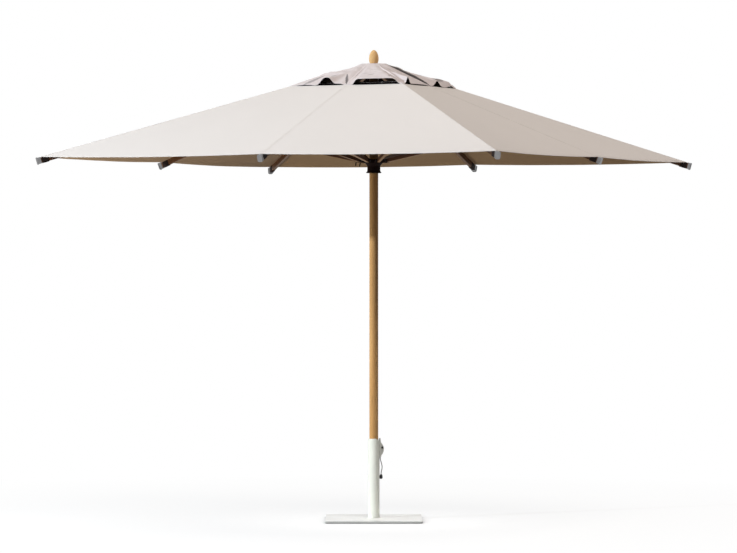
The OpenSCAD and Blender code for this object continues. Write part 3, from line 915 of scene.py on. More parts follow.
@dataclass
class Canopy:
    """The canopy's cloth: eight gores sewn over the ribs, in two halves on each rib."""

    linkage: Linkage
    stitching: Stitching
    thickness: float = 0.0012
    doubled: float = 1.7
    sag: float = 0.0085
    sag_bias: float = 1.2
    ripple: float = 0.0012
    ripple_scale: float = 5.0
    rib_seat: float = 0.016
    seam_half: float = 0.008
    seam_rise: float = 0.0002
    seam_step: float = 0.003
    hem: float = 0.03
    vent_hem: float = 0.02
    hem_step: float = 0.0006
    edge: float = 0.004
    thread_lift: float = 0.0002
    corner_width: float = 0.56
    gathered: float = 0.085
    rows: int = 44
    first_row: float = 0.05
    last_row: float = 0.03
    columns: int = 22
    crowding: float = 1.15
    pocket_length: float = 0.042
    pocket_wall: float = 0.0014
    pocket_gap: float = 0.0005
    pocket_corner: float = 0.003
    pocket_puff: float = 0.0006
    half_side: float = field(init=False)
    vent_half: float = field(init=False)
    facing: float = field(init=False)
    peak: float = field(init=False)
    cloth: bpy.types.Material = field(init=False)
    painted_shade_underside: bpy.types.Material = field(init=False)
    painted_shade_facing: bpy.types.Material = field(init=False)
    webbing: bpy.types.Material = field(init=False)

    def read(self) -> "Canopy":
        """Reads the cloth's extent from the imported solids.

        Returns:
            The canopy itself.
        """
        low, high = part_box("canopy_1")
        self.half_side, self.vent_half = high.x, low.x
        self.peak = high.z + self.vent_half * self.linkage.slope
        # This width is the band painted near-black as shade, from the vent's edge out to under the
        # cap's hem.
        self.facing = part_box("vent_cap")[1].x - self.vent_half - self.edge
        return self

    def point(self, rib: Rib, side: Side, out: float, away: float, lift: float) -> Vector:
        """A point on the cloth.

        Args:
            rib: the rib that carries it.
            side: the half that it is on.
            out: distance out from the mast, square to the canopy's side.
            away: distance from the rib's line, along the canopy's side.
            lift: height above the cloth's face.

        Returns:
            The point in the frame.
        """
        slack = self.slackness(out, away)
        sag = self.sag * (out / self.half_side) ** self.sag_bias * slack
        azimuth = rib.azimuth + side.value * (RIB_STEP if rib.to_corner else 0.0)
        sideways = side.value * ((away - out) if rib.to_corner else away)
        spot = turned(azimuth, out, sideways, 0.0)
        wave = noise.noise(Vector((spot.x * self.ripple_scale, spot.y * self.ripple_scale, 0.4)))
        wave *= self.ripple * slack
        spot.z = self.peak - self.linkage.slope * out - sag + wave + lift
        return spot

    def slackness(self, out: float, away: float) -> float:
        """Share of the sag, from nothing at the rib to one at the middle of the gore.

        Args:
            out: distance out from the mast, square to the canopy's side.
            away: distance from the rib's line, along the canopy's side.

        Returns:
            The share.
        """
        reach = max(out / 2 - self.rib_seat, 1e-6)
        free = min(max((away - self.rib_seat) / reach, 0.0), 1.0)
        return 1.0 - (1.0 - free) ** 2

    def half(self, rib: Rib, side: Side) -> bpy.types.Object:
        """Builds one half of a rib's cloth, with its felled seam and its hems.

        Args:
            rib: the rib that carries it.
            side: which half.

        Returns:
            The piece.
        """
        inner, outer = self.vent_half, self.half_side
        inner_hem, outer_hem = inner + self.vent_hem, outer - self.hem
        bands = [inner, inner_hem, inner_hem + self.hem_step]
        shade_band_rows = np.linspace(inner + self.first_row, inner + self.facing, 5)[:-1]
        spread = np.linspace(inner + self.facing, outer_hem - self.last_row, self.rows)
        hem_rows = [outer_hem - self.hem_step, outer_hem, outer - self.edge, outer]
        outs = [*bands, *shade_band_rows, *spread, *hem_rows]
        near = [0.0, self.seam_half - self.seam_step, self.seam_half, self.rib_seat]
        shares = np.linspace(0.0, 1.0, self.columns)[1:] ** self.crowding
        top = np.zeros((len(outs), len(near) + len(shares), 3))
        under, uv = np.zeros_like(top), np.zeros(top.shape[:2] + (2,))
        for i, out in enumerate(outs):
            aways = near + [self.rib_seat + (out / 2 - self.rib_seat) * s for s in shares]
            hemmed = not inner_hem + self.hem_step / 2 <= out <= outer_hem - self.hem_step / 2
            for j, away in enumerate(aways):
                felled = self.seam_rise if away < self.seam_half - self.seam_step / 2 else 0.0
                layers = self.doubled if hemmed and away > self.rib_seat else 1.0
                top[i, j] = self.point(rib, side, out, away, felled)
                under[i, j] = self.point(rib, side, out, away, -self.thickness * layers)
                uv[i, j] = (away, out * math.hypot(1.0, self.linkage.slope))
        shape, slots, places = shell(top, under, uv)
        # Painted shade: the top faces of the rows next to the vent take the near-black third slot.
        shade_band_faces = 2 * (top.shape[1] - 1) * (len(bands) + len(shade_band_rows))
        slots = [2 if i < shade_band_faces and slot == 0 else slot for i, slot in enumerate(slots)]
        name = f"cloth_{rib.number}_{side.name.lower()}"
        finishes = [self.cloth, self.painted_shade_underside, self.painted_shade_facing]
        return add_piece(name, shape, finishes, slots, places, crease=24.0)

    def seam_lines(self, rib: Rib, side: Side) -> list[list[Vector]]:
        """The lines of thread on one half: beside the rib, along the hem and round the vent.

        Args:
            rib: the rib that carries the half.
            side: which half.

        Returns:
            The lines, each as its points.
        """
        away, lift = self.seam_half - 0.0016, self.seam_rise + self.thread_lift
        outs = np.linspace(self.vent_half + self.edge, self.half_side - self.edge, 40)
        lines = [[self.point(rib, side, out, away, lift) for out in outs]]
        hem_lines = (self.half_side - self.hem + 0.002, self.half_side - 0.005,
                     self.vent_half + self.vent_hem - 0.003)
        for out in hem_lines:
            aways = np.linspace(self.rib_seat, out / 2, 26)
            lines.append([self.point(rib, side, out, away, self.thread_lift) for away in aways])
        return lines

    def gather(self, piece: bpy.types.Object, rib: Rib, side: Side) -> None:
        """Gives a half's cloth or its thread a mesh of its own.

        Args:
            piece: the cloth or its thread.
            rib: the rib that carries it.
            side: which half.
        """
        start = self.point(rib, side, self.half_side, 0.0, 0.0)
        inner = self.point(rib, side, self.vent_half, 0.0, 0.0)
        reach = self.point(rib, side, self.half_side, self.half_side / 2, 0.0) - start
        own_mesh(piece)

    def pocket(self, rib: Rib, rib_height: float, rib_width: float) -> bpy.types.Object:
        """The loop of cloth that holds the hem to the end of a rib.

        Args:
            rib: the rib that it goes round.
            rib_height: the rib's height.
            rib_width: the rib's width.

        Returns:
            The piece.
        """
        gap, corner = self.pocket_gap, self.pocket_corner
        end = (self.half_side * (math.sqrt(2) if rib.to_corner else 1.0)
               - math.hypot(rib.pivot.x, rib.pivot.y)) / math.hypot(rib.along.x, rib.along.y)
        half_w, half_h = rib_width / 2 + gap, rib_height / 2
        bottom = -half_h - gap + corner
        section = [(-half_w, half_h, -1.0, 0.0),
                   *arc((-half_w + corner, bottom), corner, 180, 18),
                   *arc((half_w - corner, bottom), corner, 270, 18),
                   (half_w, half_h, 1.0, 0.0)]
        stations = np.linspace(end - self.pocket_length - self.edge, end - self.edge, 7)
        top = np.zeros((len(stations), len(section), 3))
        under, uv = np.zeros_like(top), np.zeros(top.shape[:2] + (2,))
        for i, x in enumerate(stations):
            puff = self.pocket_puff * math.sin(math.pi * i / (len(stations) - 1))
            thick = self.pocket_wall + puff
            for j, (y, z, ny, nz) in enumerate(section):
                under[i, j] = rib.place @ Vector((x, y, z))
                top[i, j] = rib.place @ Vector((x, y + ny * thick, z + nz * thick))
                uv[i, j] = (y + z, x)
        shape, _, places = shell(top, under, uv)
        return add_piece(f"rib_pocket_{rib.number}", shape, [self.webbing], None, places)

    def build(self) -> None:
        """Builds, sews and hangs the whole canopy."""
        # The canopy's underside is its cloth painted darker as shade, and the band by the vent is
        # painted near-black as shade.
        self.cloth, self.painted_shade_underside = CLOTH.make("canopy_cloth"), CANVAS_UNDERSIDE_PAINTED_SHADE.make("canopy_lining")
        self.painted_shade_facing = VENT_PAINTED_SHADE.make("vent_facing_painted_shade")
        rows = self.stitching.tree(THREAD.make("sewing_thread"))
        self.webbing = DARK_WEBBING.make("pocket_webbing")
        low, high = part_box("rib_1")
        rib_width, rib_height = high.y - low.y, 2 * (self.linkage.ribs[0].pivot.x - low.x)
        for rib in self.linkage.ribs:
            pocket = self.pocket(rib, rib_height, rib_width)
            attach(pocket, rib.body)
            for side in Side:
                piece = self.half(rib, side)
                thread = self.stitching.sew(f"stitches_{rib.number}_{side.name.lower()}",
                                            self.seam_lines(rib, side), rows)
                for each in (piece, thread):
                    self.gather(each, rib, side)
                    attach(each, rib.body)
                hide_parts(f"canopy_{rib.number}")
            log.info("canopy cloth on rib %d: two sewn halves and a pocket", rib.number)


@dataclass(frozen=True)
class Lift:
    """Where the vent cap's hem lifts off the canopy, along one gore."""

    middle: float
    half_width: float
    height: float
    squareness: float = 4.0

    def at(self, share: float) -> float:
        """The lift at a share of the way across the gore."""
        away = abs((share - self.middle) / self.half_width)
        return self.height * math.exp(-away ** self.squareness)


@dataclass
class VentCap:
    """The loose upper cloth: flat over the crown, billowed, and tied down at the ribs.

    `lifts` holds what lifts each gore's hem, and `creases` the painted shade of sharp folds on each
    half, by rib and side. A ridge is how far the cap stands off the canopy along a rib, as shares
    of
    the way out to its hem and heights: `ridges` has those of two ribs, and the others share
    `plain_ridge`.
    """

    canopy: Canopy
    thickness: float = 0.0013
    hemmed: float = 1.9
    seat: float = 0.0022
    crown_ease: float = 0.003
    crown_gap: float = 0.0024
    fall: float = math.tan(math.radians(30))
    shoulder: float = 0.004
    shoulder_reach: float = 0.006
    billow: float = 0.009
    looseness: float = 0.010
    crumple: float = 0.0045
    sharpness: float = 0.011
    tie_reach: float = 0.024
    pleat: float = 0.006
    pleat_reach: float = 0.005
    fold_gore: int = 1
    fold_height: float = 0.019
    fold_wall: float = 0.011
    fold_reach: float = 0.045
    rows: int = 40
    columns: int = 36
    crowding: float = 1.3
    turns: int = 96
    gathered: float = 0.16
    corner_width: float = 0.24
    side_width: float = 0.22
    crown_radius: float = field(init=False)
    half_side: float = field(init=False)
    flat_height: float = field(init=False)
    cloth: bpy.types.Material = field(init=False)
    painted_shade_underside: bpy.types.Material = field(init=False)
    lifts: dict[int, list[Lift]] = field(default_factory=lambda: {
        1: [Lift(0.34, 0.13, 0.034, 2.0), Lift(0.85, 0.10, 0.012, 2.0)],
        2: [Lift(0.20, 0.24, 0.018), Lift(0.72, 0.2, 0.034)],
        3: [Lift(0.36, 0.24, 0.036), Lift(0.8, 0.1, 0.018)],
        4: [Lift(0.5, 0.33, 0.044, 6.0)],
        5: [Lift(0.5, 0.2, 0.024)],
        6: [Lift(0.57, 0.13, 0.048, 3.0), Lift(0.83, 0.11, 0.009), Lift(0.2, 0.12, 0.005)],
        7: [Lift(0.555, 0.385, 0.036, 14.0)],
        8: [Lift(0.12, 0.05, 0.042, 2.0), Lift(0.55, 0.4, 0.005)],
    })
    # Painted shade of the cap's sharp folds, drawn darker on each half's UV map.
    creases: dict[tuple[int, int], list[Crease]] = field(default_factory=lambda: {
        (1, 1): [Crease((0.006, 0.08), (0.006, 0.385), 0.018, 0.95)],
        (2, -1): [Crease((-0.115, 0.334), (-0.030, 0.450), 0.034, 0.6),
                  Crease((-0.09, 0.25), (-0.02, 0.31), 0.016, 0.4)],
        (6, 1): [Crease((0.07, 0.50), (0.044, 0.335), 0.022, 0.5)],
        (7, -1): [Crease((-0.002, 0.380), (-0.058, 0.255), 0.012, 0.85),
                  Crease((-0.116, 0.35), (-0.133, 0.25), 0.024, 0.45)],
        (7, 1): [Crease((0.03, 0.24), (0.075, 0.235), 0.010, 0.55),
                 Crease((0.10, 0.30), (0.14, 0.25), 0.014, 0.3)],
        (8, -1): [Crease((-0.05, 0.44), (-0.02, 0.36), 0.018, 0.35)],
    })
    plain_ridge: Profile = ((0.0, 0.0), (0.3, 0.005), (0.65, 0.007), (1.0, 0.001))
    fold_rise: Profile = ((0.03, 0.0), (0.25, 0.8), (0.6, 1.0), (0.9, 0.6), (1.0, 0.0))
    ridges: dict[int, Profile] = field(default_factory=lambda: {
        2: ((0.0, 0.0), (0.31, 0.004), (0.48, 0.006), (0.65, 0.010), (0.84, 0.024), (0.95, 0.022),
            (1.0, 0.002)),
        6: ((0.0, 0.0), (0.19, 0.003), (0.36, 0.006), (0.53, 0.022), (0.61, 0.008), (0.87, 0.004),
            (1.0, 0.001)),
    })

    def read(self) -> "VentCap":
        """Reads the cap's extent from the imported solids.

        Returns:
            The cap itself.
        """
        self.half_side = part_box("vent_cap")[1].x
        crown_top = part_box("crown")[1]
        self.crown_radius = crown_top.x + self.crown_ease
        self.flat_height = crown_top.z + self.crown_gap
        return self

    def sweep(self, rib: Rib) -> float:
        """The angle about the mast that one half of a rib's share covers."""
        to_middle = math.atan(0.5)
        return RIB_STEP - to_middle if rib.to_corner else to_middle

    def height(self, azimuth: float, radius: float) -> float:
        """Height of the cap's upper face at a place given about the mast.

        Args:
            azimuth: the direction from the mast.
            radius: the distance from the mast.

        Returns:
            The height above the ground.
        """
        square = to_side(azimuth)
        face = self.canopy.peak - radius * square * self.canopy.linkage.slope + self.seat
        tent = self.flat_height - max(0.0, radius - self.crown_radius) * self.fall
        shoulder = self.shoulder * math.exp(-((face - tent) / self.shoulder_reach) ** 2)
        base = min(max(face, tent) + shoulder, self.flat_height)
        share = (radius - self.crown_radius) / (self.half_side / square - self.crown_radius)
        if share <= 0.0:
            return base
        share = min(share, 1.0)
        gore, across = divmod(azimuth / RIB_STEP % 8, 1.0)
        gore = int(gore) + 1
        before, after = (interpolated(self.ridges.get(rib, self.plain_ridge), share)
                         for rib in (gore, gore % 8 + 1))
        blend = across * across * (3.0 - 2.0 * across)
        ridge = before + (after - before) * blend
        hem = sum(lift.at(across) for lift in self.lifts[gore]) * share**2.4
        tied = min(across, 1.0 - across) * RIB_STEP * radius
        held = 1.0 - math.exp(-((tied / self.tie_reach) ** 2))
        around = Vector((2.6 * math.cos(azimuth), 2.6 * math.sin(azimuth), 3.1 + radius * 2.0))
        bulge = self.billow * math.sin(math.pi * share**0.8) * (0.8 + 0.7 * noise.noise(around))
        pleat = self.pleat * math.sin(math.pi * share) * math.exp(-((tied / self.pleat_reach) ** 2))
        if gore == self.fold_gore:
            run = across * RIB_STEP * radius
            pleat = self.fold_height * interpolated(self.fold_rise, share)
            pleat *= min(1.0, run / self.fold_wall) * math.exp(-((run / self.fold_reach) ** 2))
        loose = self.crumpled(turned(azimuth, radius, 0.0, 0.0), share)
        return base + ridge * (0.55 + 0.45 * held) + (bulge + loose + hem) * held + pleat

    def crumpled(self, spot: Vector, share: float) -> float:
        """The cloth's small creases at a place, fading towards the crown and the hem.

        Args:
            spot: the place, seen from above.
            share: how far out it is, from the crown to the hem.

        Returns:
            How far the cloth stands out there.
        """
        creases = noise.fractal(spot * 5.5 + Vector((0.0, 0.0, 2.0)), 0.9, 2.1, 2)
        crumple = noise.fractal(spot * 17.0 + Vector((0.0, 0.0, 8.0)), 0.8, 2.2, 3)
        sharp = abs(noise.noise(spot * 13.0 + Vector((5.0, 1.0, 0.0)))) - 0.3
        loose = self.looseness * creases + self.crumple * crumple + self.sharpness * sharp
        return loose * min(1.0, 5.0 * share) * (1.05 - share)

    def half(self, rib: Rib, side: Side) -> bpy.types.Object:
        """Builds one half of a rib's share of the cap.

        Args:
            rib: the rib that holds it down.
            side: which half.

        Returns:
            The piece.
        """
        sweep = self.sweep(rib)
        top = np.zeros((self.rows + 1, self.columns + 1, 3))
        under, uv = np.zeros_like(top), np.zeros(top.shape[:2] + (2,))
        for j in range(self.columns + 1):
            azimuth = rib.azimuth + side.value * sweep * (j / self.columns) ** self.crowding
            turn = azimuth - rib.azimuth
            reach = self.half_side / to_side(azimuth) - self.crown_radius
            for i in range(self.rows + 1):
                share = i / self.rows
                radius = self.crown_radius + reach * share
                z = self.height(azimuth, radius)
                thick = self.thickness * (self.hemmed if share > 0.95 else 1.0)
                top[i, j] = turned(azimuth, radius, 0.0, z)
                under[i, j] = turned(azimuth, radius, 0.0, z - thick)
                uv[i, j] = (radius * math.sin(turn), radius * math.cos(turn))
        shape, slots, places = shell(top, under, uv)
        name = f"vent_cap_{rib.number}_{side.name.lower()}"
        creases = self.creases.get((rib.number, side.value), [])
        # Halves with creases take a copy of the cap's cloth with their fold shade painted on.
        cloth = VENT_CLOTH.make(f"{name}_cloth", creases) if creases else self.cloth
        return add_piece(name, shape, [cloth, self.painted_shade_underside], slots, places, crease=50.0)

    def middle(self) -> bpy.types.Object:
        """Builds the round part of the cap that lies over the crown.

        Returns:
            The piece.
        """
        radii = [0.0085, 0.03, 0.05, 0.064, 0.072, 0.078, self.crown_radius]
        top = np.zeros((self.turns, len(radii), 3))
        under, uv = np.zeros_like(top), np.zeros(top.shape[:2] + (2,))
        for i in range(self.turns):
            azimuth = 2 * math.pi * i / self.turns
            for j, radius in enumerate(radii):
                z = self.height(azimuth, radius)
                top[i, j] = turned(azimuth, radius, 0.0, z)
                under[i, j] = turned(azimuth, radius, 0.0, z - self.thickness)
                uv[i, j] = top[i, j, :2]
        shape, slots, places = shell(top, under, uv, ring=True)
        finishes = [self.cloth, self.painted_shade_underside]
        return add_piece("vent_cap_middle", shape, finishes, slots, places, crease=50.0)

    def seam_lines(self, rib: Rib, side: Side) -> list[list[Vector]]:
        """The two lines of thread along one half's hem.

        Args:
            rib: the rib that holds the half down.
            side: which half.

        Returns:
            The lines, each as its points.
        """
        sweep, steps, thread_lift = self.sweep(rib), 30, 0.0003
        lines = []
        for inset in (0.006, 0.017):
            line = []
            for j in range(steps + 1):
                azimuth = rib.azimuth + side.value * sweep * j / steps
                radius = (self.half_side - inset) / to_side(azimuth)
                height = self.height(azimuth, radius) + thread_lift
                line.append(turned(azimuth, radius, 0.0, height))
            lines.append(line)
        return lines

    def build(self) -> None:
        """Builds the cap and hangs it on the crown and the ribs."""
        # The cap's underside is painted near-black as shade.
        self.cloth, self.painted_shade_underside = VENT_CLOTH.make("vent_cloth"), VENT_PAINTED_SHADE.make("vent_lining")
        stitching = self.canopy.stitching
        rows = stitching.tree(THREAD.make("vent_thread"))
        middle = self.middle()
        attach(middle, "mast")
        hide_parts("vent_cap")
        for rib in self.canopy.linkage.ribs:
            for side in Side:
                piece = self.half(rib, side)
                thread = stitching.sew(f"vent_stitches_{rib.number}_{side.name.lower()}",
                                       self.seam_lines(rib, side), rows)
                height = self.height(rib.azimuth, self.half_side)
                start = turned(rib.azimuth, self.half_side, 0.0, height)
                turn = side.value * (RIB_STEP / 2)
                reach = turned(rib.azimuth + turn, self.half_side, 0.0, start.z) - start
                for each in (piece, thread):
                    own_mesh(each)
                    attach(each, rib.body)
                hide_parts("vent_cap")
        log.info("vent cap: a middle over the crown and sixteen tied halves")


@dataclass
class Timberwork:
    """The mast, the ribs, the struts and the finial, each with grain along its own length."""

    linkage: Linkage

    def dress(self) -> None:
        """Gives each timber node its grain."""
        nodes = frame["nodes"]
        upright = Matrix.Rotation(-math.pi / 2, 4, "Y")
        put_on(nodes["mast"], HONEY_WOOD.make("mast_wood", upright))
        put_on(nodes["finial"], PALE_WOOD.make("finial_wood", upright))
        for rib in self.linkage.ribs:
            k, strut_place = rib.number, self.linkage.strut_place(rib.number)
            put_on(nodes[f"rib_{k}"], SHADED_WOOD.make(f"rib_wood_{k}", rib.place))
            put_on(nodes[f"strut_{k}"], STRUT_WOOD.make(f"strut_wood_{k}", strut_place))
        log.info("timber: mast, finial, eight ribs and eight struts")


def put_on(node: bpy.types.Object, material: bpy.types.Material) -> None:
    """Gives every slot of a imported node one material.

    Args:
        node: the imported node.
        material: its finish.
    """
    if not node.material_slots:
        node.data.materials.append(material)
    for slot in node.material_slots:
        slot.material = material


@dataclass
class Hardware:
    """The metal, resin and plastic nodes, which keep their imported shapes."""

    def dress(self) -> None:
        """Gives each hard node its finish."""
        wear = {
            BRIGHT_STEEL.make("bright_steel"): ["cam_spring"],
            CAP_METAL.make("cap_metal"): [f"rib_fittings_{k}" for k in RIB_NUMBERS],
            BLACK_STEEL.make("black_steel"): ["cam_pin", "crown_steel",
                                              *(f"strut_pin_{k}" for k in RIB_NUMBERS)],
            WHITE_LACQUER.make("white_lacquer"): ["base_tube"],
            PLATE_LACQUER.make("plate_lacquer"): ["base_plate"],
            LOCK_LACQUER.make("lock_lacquer"): ["lock_plates", "lock_cam"],
            DARK_RESIN.make("dark_resin"): ["crown", "runner_hub", "runner_lugs", "runner_skirt"],
            BLACK_PLASTIC.make("black_plastic"): ["plate_glides", "base_bushes", "mast_foot",
                                                  "cord_knob"],
        }
        for material, names in wear.items():
            for name in names:
                put_on(frame["nodes"][name], material)
            log.info("%s: %d nodes", material.name, len(names))


@dataclass
class ReleaseCord:
    """The cord that hangs from the cam's tail to its pull.

    `route` holds its points as distances out from the mast and heights, in the lock's plane.
    """

    diameter: float = 0.005
    sides: int = 14
    steps: int = 4
    route: Profile = (
        (0.042, 0.391), (0.042, 0.385), (0.0428, 0.3785), (0.0443, 0.372), (0.0465, 0.365),
        (0.0489, 0.358), (0.051, 0.351), (0.0527, 0.344), (0.0539, 0.337), (0.0544, 0.330),
        (0.0542, 0.323), (0.0534, 0.316), (0.0519, 0.309), (0.0502, 0.302), (0.0488, 0.295),
        (0.048, 0.289), (0.048, 0.284),
    )

    def centre_line(self) -> list[Vector]:
        """The cord's centre line, smoothed through its route's points.

        Returns:
            The line's points, from the cam down.
        """
        spots = [turned(LOCK_AZIMUTH, x, 0.0, z) for x, z in self.route]
        padded = [spots[0] * 2 - spots[1], *spots, spots[-1] * 2 - spots[-2]]
        line = []
        for a, b, c, d in zip(padded, padded[1:], padded[2:], padded[3:]):
            for i in range(self.steps):
                t = i / self.steps
                line.append(0.5 * (2 * b + (c - a) * t + (2 * a - 5 * b + 4 * c - d) * t**2
                                   + (3 * b - 3 * c + d - a) * t**3))
        return [*line, spots[-1]]

    def build(self) -> bpy.types.Object:
        """Returns:
            The cord.
        """
        line, radius = self.centre_line(), self.diameter / 2
        across = turned(LOCK_AZIMUTH, 0.0, 1.0, 0.0)
        points, uv, faces, run = [], [], [], 0.0
        for i, spot in enumerate(line):
            run += (spot - line[i - 1]).length if i else 0.0
            ahead = (line[min(i + 1, len(line) - 1)] - line[max(i - 1, 0)]).normalized()
            normal = ahead.cross(across)
            for s in range(self.sides):
                turn = 2 * math.pi * s / self.sides
                points.append(spot + (normal * math.cos(turn) + across * math.sin(turn)) * radius)
                uv.append((min(turn, 2 * math.pi - turn) * radius, run))
        for i in range(len(line) - 1):
            for s in range(self.sides):
                a, b = i * self.sides + s, i * self.sides + (s + 1) % self.sides
                faces.append((a, b, b + self.sides, a + self.sides))
        last = (len(line) - 1) * self.sides
        faces += [tuple(reversed(range(self.sides))), tuple(last + s for s in range(self.sides))]
        finish = GREY_CORD.make("grey_cord")
        cord = add_piece("release_cord_braid", (points, faces), [finish], None, uv, crease=50.0)
        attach(cord, "lock_cam")
        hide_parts("release_cord")
        log.info("release cord: %.3f m", run)
        return cord


@dataclass
class TieLoop:
    """The webbing band round one strut beside the runner, with its two ends hanging."""

    linkage: Linkage
    number: int = 5
    at: float = 0.018
    wall: float = 0.0016
    width: float = 0.012
    half_height: float = 0.0114
    ease: float = 0.0004
    corner: float = 0.004
    ends_apart: float = 0.014
    end_width: float = 0.0075
    end_start: float = 0.0018
    end_drop: float = 0.023
    end_wave: float = 0.0015

    def band(self, place: Matrix, ring: list[tuple[float, float]], closed: bool, x: float,
             width: float) -> Shape:
        """A strip of webbing that follows a line in the plane across the strut.

        Args:
            place: the strut's own frame.
            ring: the line's points, across and up.
            closed: whether the line closes on itself.
            x: the strip's middle along the strut.
            width: the strip's width.

        Returns:
            The strip's points and faces.
        """
        count = len(ring)
        points: list[Vector] = []
        for i, (y, z) in enumerate(ring):
            before = ring[(i - 1) % count] if closed or i else ring[i]
            after = ring[(i + 1) % count] if closed or i < count - 1 else ring[i]
            way = Vector((after[0] - before[0], after[1] - before[1])).normalized()
            ny, nz = way.y * self.wall, -way.x * self.wall
            for dx, k in ((-width / 2, 0), (width / 2, 0), (width / 2, 1), (-width / 2, 1)):
                points.append(place @ Vector((x + dx, y + ny * k, z + nz * k)))
        faces: list[tuple[int, ...]] = []
        for i in range(count if closed else count - 1):
            a, b = 4 * i, 4 * ((i + 1) % count)
            for s in range(4):
                t = (s + 1) % 4
                faces.append((a + s, a + t, b + t, b + s))
        if not closed:
            end = 4 * (count - 1)
            faces += [(3, 2, 1, 0), (end, end + 1, end + 2, end + 3)]
        return points, faces

    def build(self) -> bpy.types.Object:
        """Builds the band and its ends, and hangs them on the strut.

        Returns:
            The band and its ends, as one piece.
        """
        place = self.linkage.strut_place(self.number)
        low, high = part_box(f"strut_{self.number}")
        half_width = (high.y - low.y) / 2 + self.ease
        y, z = half_width - self.corner, self.half_height - self.corner
        corners = ((0, (y, z)), (90, (-y, z)), (180, (-y, -z)), (270, (y, -z)))
        ring = [spot[:2] for start, centre in corners
                for spot in arc(centre, self.corner, start, 15)]
        shapes = [self.band(place, ring, True, self.at, self.width)]
        for way in (-1, 1):
            drop = [(self.end_wave * math.sin(3.0 * t + way),
                     -self.half_height - self.end_start - self.end_drop * t)
                    for t in np.linspace(0, 1, 12)]
            middle = self.at + way * self.ends_apart
            shapes.append(self.band(place, drop, False, middle, self.end_width))
        strap = [(self.corner, -self.half_height), (-self.corner, -self.half_height)]
        strap_width = 2 * self.ends_apart + self.end_width
        shapes.append(self.band(place, strap, False, self.at, strap_width))
        points: list[Vector] = []
        faces: list[tuple[int, ...]] = []
        for more, loops in shapes:
            faces += [tuple(len(points) + i for i in loop) for loop in loops]
            points += more
        back = place.inverted()
        uv = [(p.x, p.y + p.z) for p in (back @ point for point in points)]
        finish = DARK_WEBBING.make("dark_webbing")
        piece = add_piece("tie_webbing", (points, faces), [finish], None, uv)
        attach(piece, f"strut_{self.number}")
        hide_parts("tie_loop")
        log.info("tie loop: one band with two ends")
        return piece


@dataclass(frozen=True)
class Lamp:
    """A square area lamp, with its place and aim rightwards, towards the camera and up."""

    name: str
    place: tuple[float, float, float]
    aim: tuple[float, float, float]
    size: float
    power: float
    color: Color
    spread: float = 180.0


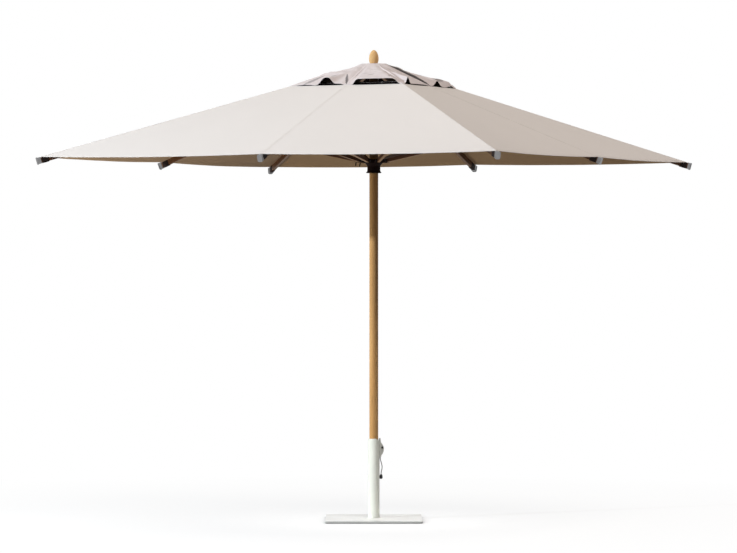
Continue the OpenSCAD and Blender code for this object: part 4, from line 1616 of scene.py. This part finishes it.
@dataclass
class Studio:
    """A plain pale floor, the lamps, the world and the camera, turned with the view."""

    distance: float = 22.39
    eye_height: float = 1.686
    aim_height: float = 1.515
    aim_left: float = 0.033
    lens: float = 175.85
    azimuth: float = math.radians(26)
    floor_reach: float = 60.0
    floor_gap: float = 0.0005
    sky_low: float = 0.05
    sky_high: float = 0.42
    lamps: tuple[Lamp, ...] = (
        Lamp("key", (-8.3, 4.8, 4.34), (0.0, 0.0, 1.9), 0.16, 812.0, (0.84, 0.925, 1.0)),
        Lamp("top", (3.6, 1.6, 9.2), (0.0, 0.0, 2.6), 5.0, 348.0, (1.0, 0.9, 0.82)),
        Lamp("low", (-3.3, 0.6, 0.25), (-0.9, 0.0, 2.35), 1.0, 50.0, (1.0, 0.97, 0.9)),
        Lamp("foot", (0.2, 0.95, 2.05), (0.0, 0.1, 0.0), 0.5, 1.8, (1.0, 0.99, 0.95), 50.0),
    )

    def view_point(self, across: float, towards: float, height: float) -> Vector:
        """A point given rightwards and towards the camera, from the mast."""
        c, s = math.cos(self.azimuth), math.sin(self.azimuth)
        return Vector((across * c + towards * s, across * s - towards * c, height))

    def camera(self) -> None:
        """Makes the camera."""
        data = bpy.data.cameras.new("camera")
        data.lens, data.sensor_width = self.lens, 36.0
        data.clip_end = 200.0
        camera = bpy.data.objects.new("camera", data)
        bpy.context.scene.collection.objects.link(camera)
        eye = self.view_point(-self.aim_left, self.distance, self.eye_height)
        aim = self.view_point(-self.aim_left, 0.0, self.aim_height)
        camera.location = eye
        camera.rotation_mode = "QUATERNION"
        camera.rotation_quaternion = (aim - eye).to_track_quat("-Z", "Y")
        bpy.context.scene.camera = camera

    def light(self, lamp: Lamp) -> None:
        """Stands a lamp in the scene, unseen but by its light.

        Args:
            lamp: which lamp.
        """
        data = bpy.data.lights.new(lamp.name, "AREA")
        data.size, data.energy, data.color = lamp.size, lamp.power, lamp.color
        data.spread = math.radians(lamp.spread)
        stand = bpy.data.objects.new(lamp.name, data)
        bpy.context.scene.collection.objects.link(stand)
        place, aim = self.view_point(*lamp.place), self.view_point(*lamp.aim)
        stand.location = place
        stand.visible_camera = stand.visible_glossy = False
        stand.rotation_mode = "QUATERNION"
        stand.rotation_quaternion = (aim - place).to_track_quat("-Z", "Y")

    def world(self) -> None:
        """White to the camera and to gloss; as light, soft and stronger from the left."""
        world = bpy.data.worlds.new("studio")
        bpy.context.scene.world = world
        world.use_nodes = True
        nodes, links = world.node_tree.nodes, world.node_tree.links
        nodes.clear()
        path = nodes.new("ShaderNodeLightPath")
        seen = nodes.new("ShaderNodeMath")
        seen.operation, seen.use_clamp = "SUBTRACT", True
        seen.inputs[0].default_value = 1.0
        links.new(path.outputs["Is Diffuse Ray"], seen.inputs[1])
        way, facing = nodes.new("ShaderNodeTexCoord"), nodes.new("ShaderNodeVectorMath")
        facing.operation = "DOT_PRODUCT"
        facing.inputs[1].default_value = self.view_point(-1.0, 0.35, 0.25).normalized()
        links.new(way.outputs["Generated"], facing.inputs[0])
        strength = nodes.new("ShaderNodeMapRange")
        strength.inputs["From Min"].default_value = -0.6
        strength.inputs["From Max"].default_value = 1.0
        strength.inputs["To Min"].default_value = self.sky_low
        strength.inputs["To Max"].default_value = self.sky_high
        links.new(facing.outputs["Value"], strength.inputs["Value"])
        soft, white = nodes.new("ShaderNodeBackground"), nodes.new("ShaderNodeBackground")
        links.new(strength.outputs["Result"], soft.inputs["Strength"])
        white.inputs["Strength"].default_value = 1.0
        for shade in (soft, white):
            shade.inputs["Color"].default_value = WHITE
        mixed, out = nodes.new("ShaderNodeMixShader"), nodes.new("ShaderNodeOutputWorld")
        links.new(seen.outputs[0], mixed.inputs[0])
        links.new(soft.outputs[0], mixed.inputs[1])
        links.new(white.outputs[0], mixed.inputs[2])
        links.new(mixed.outputs[0], out.inputs["Surface"])

    def build(self) -> None:
        """Builds the floor, the lamps and the world."""
        corners = [Vector((x * self.floor_reach, y * self.floor_reach, -self.floor_gap))
                   for x, y in ((-1, -1), (1, -1), (1, 1), (-1, 1))]
        floor = add_piece("floor", (corners, [(0, 1, 2, 3)]), [Paving().make("pale_floor")])
        for lamp in self.lamps:
            self.light(lamp)
        self.world()
        bpy.context.scene.view_settings.view_transform = "Standard"
        log.info("studio: floor, %d lamps and the world", len(self.lamps))


def main() -> None:
    """Builds every part of the scene in order."""
    logging.basicConfig(level=logging.INFO, format="%(name)s: %(message)s")
    studio = Studio()
    studio.camera()
    ReleaseCord().build()
    linkage = Linkage().read()
    canopy = Canopy(linkage, Stitching()).read()
    canopy.build()
    VentCap(canopy).read().build()
    TieLoop(linkage).build()
    Timberwork(linkage).dress()
    Hardware().dress()
    studio.build()


if __name__ == "__main__":
    main()
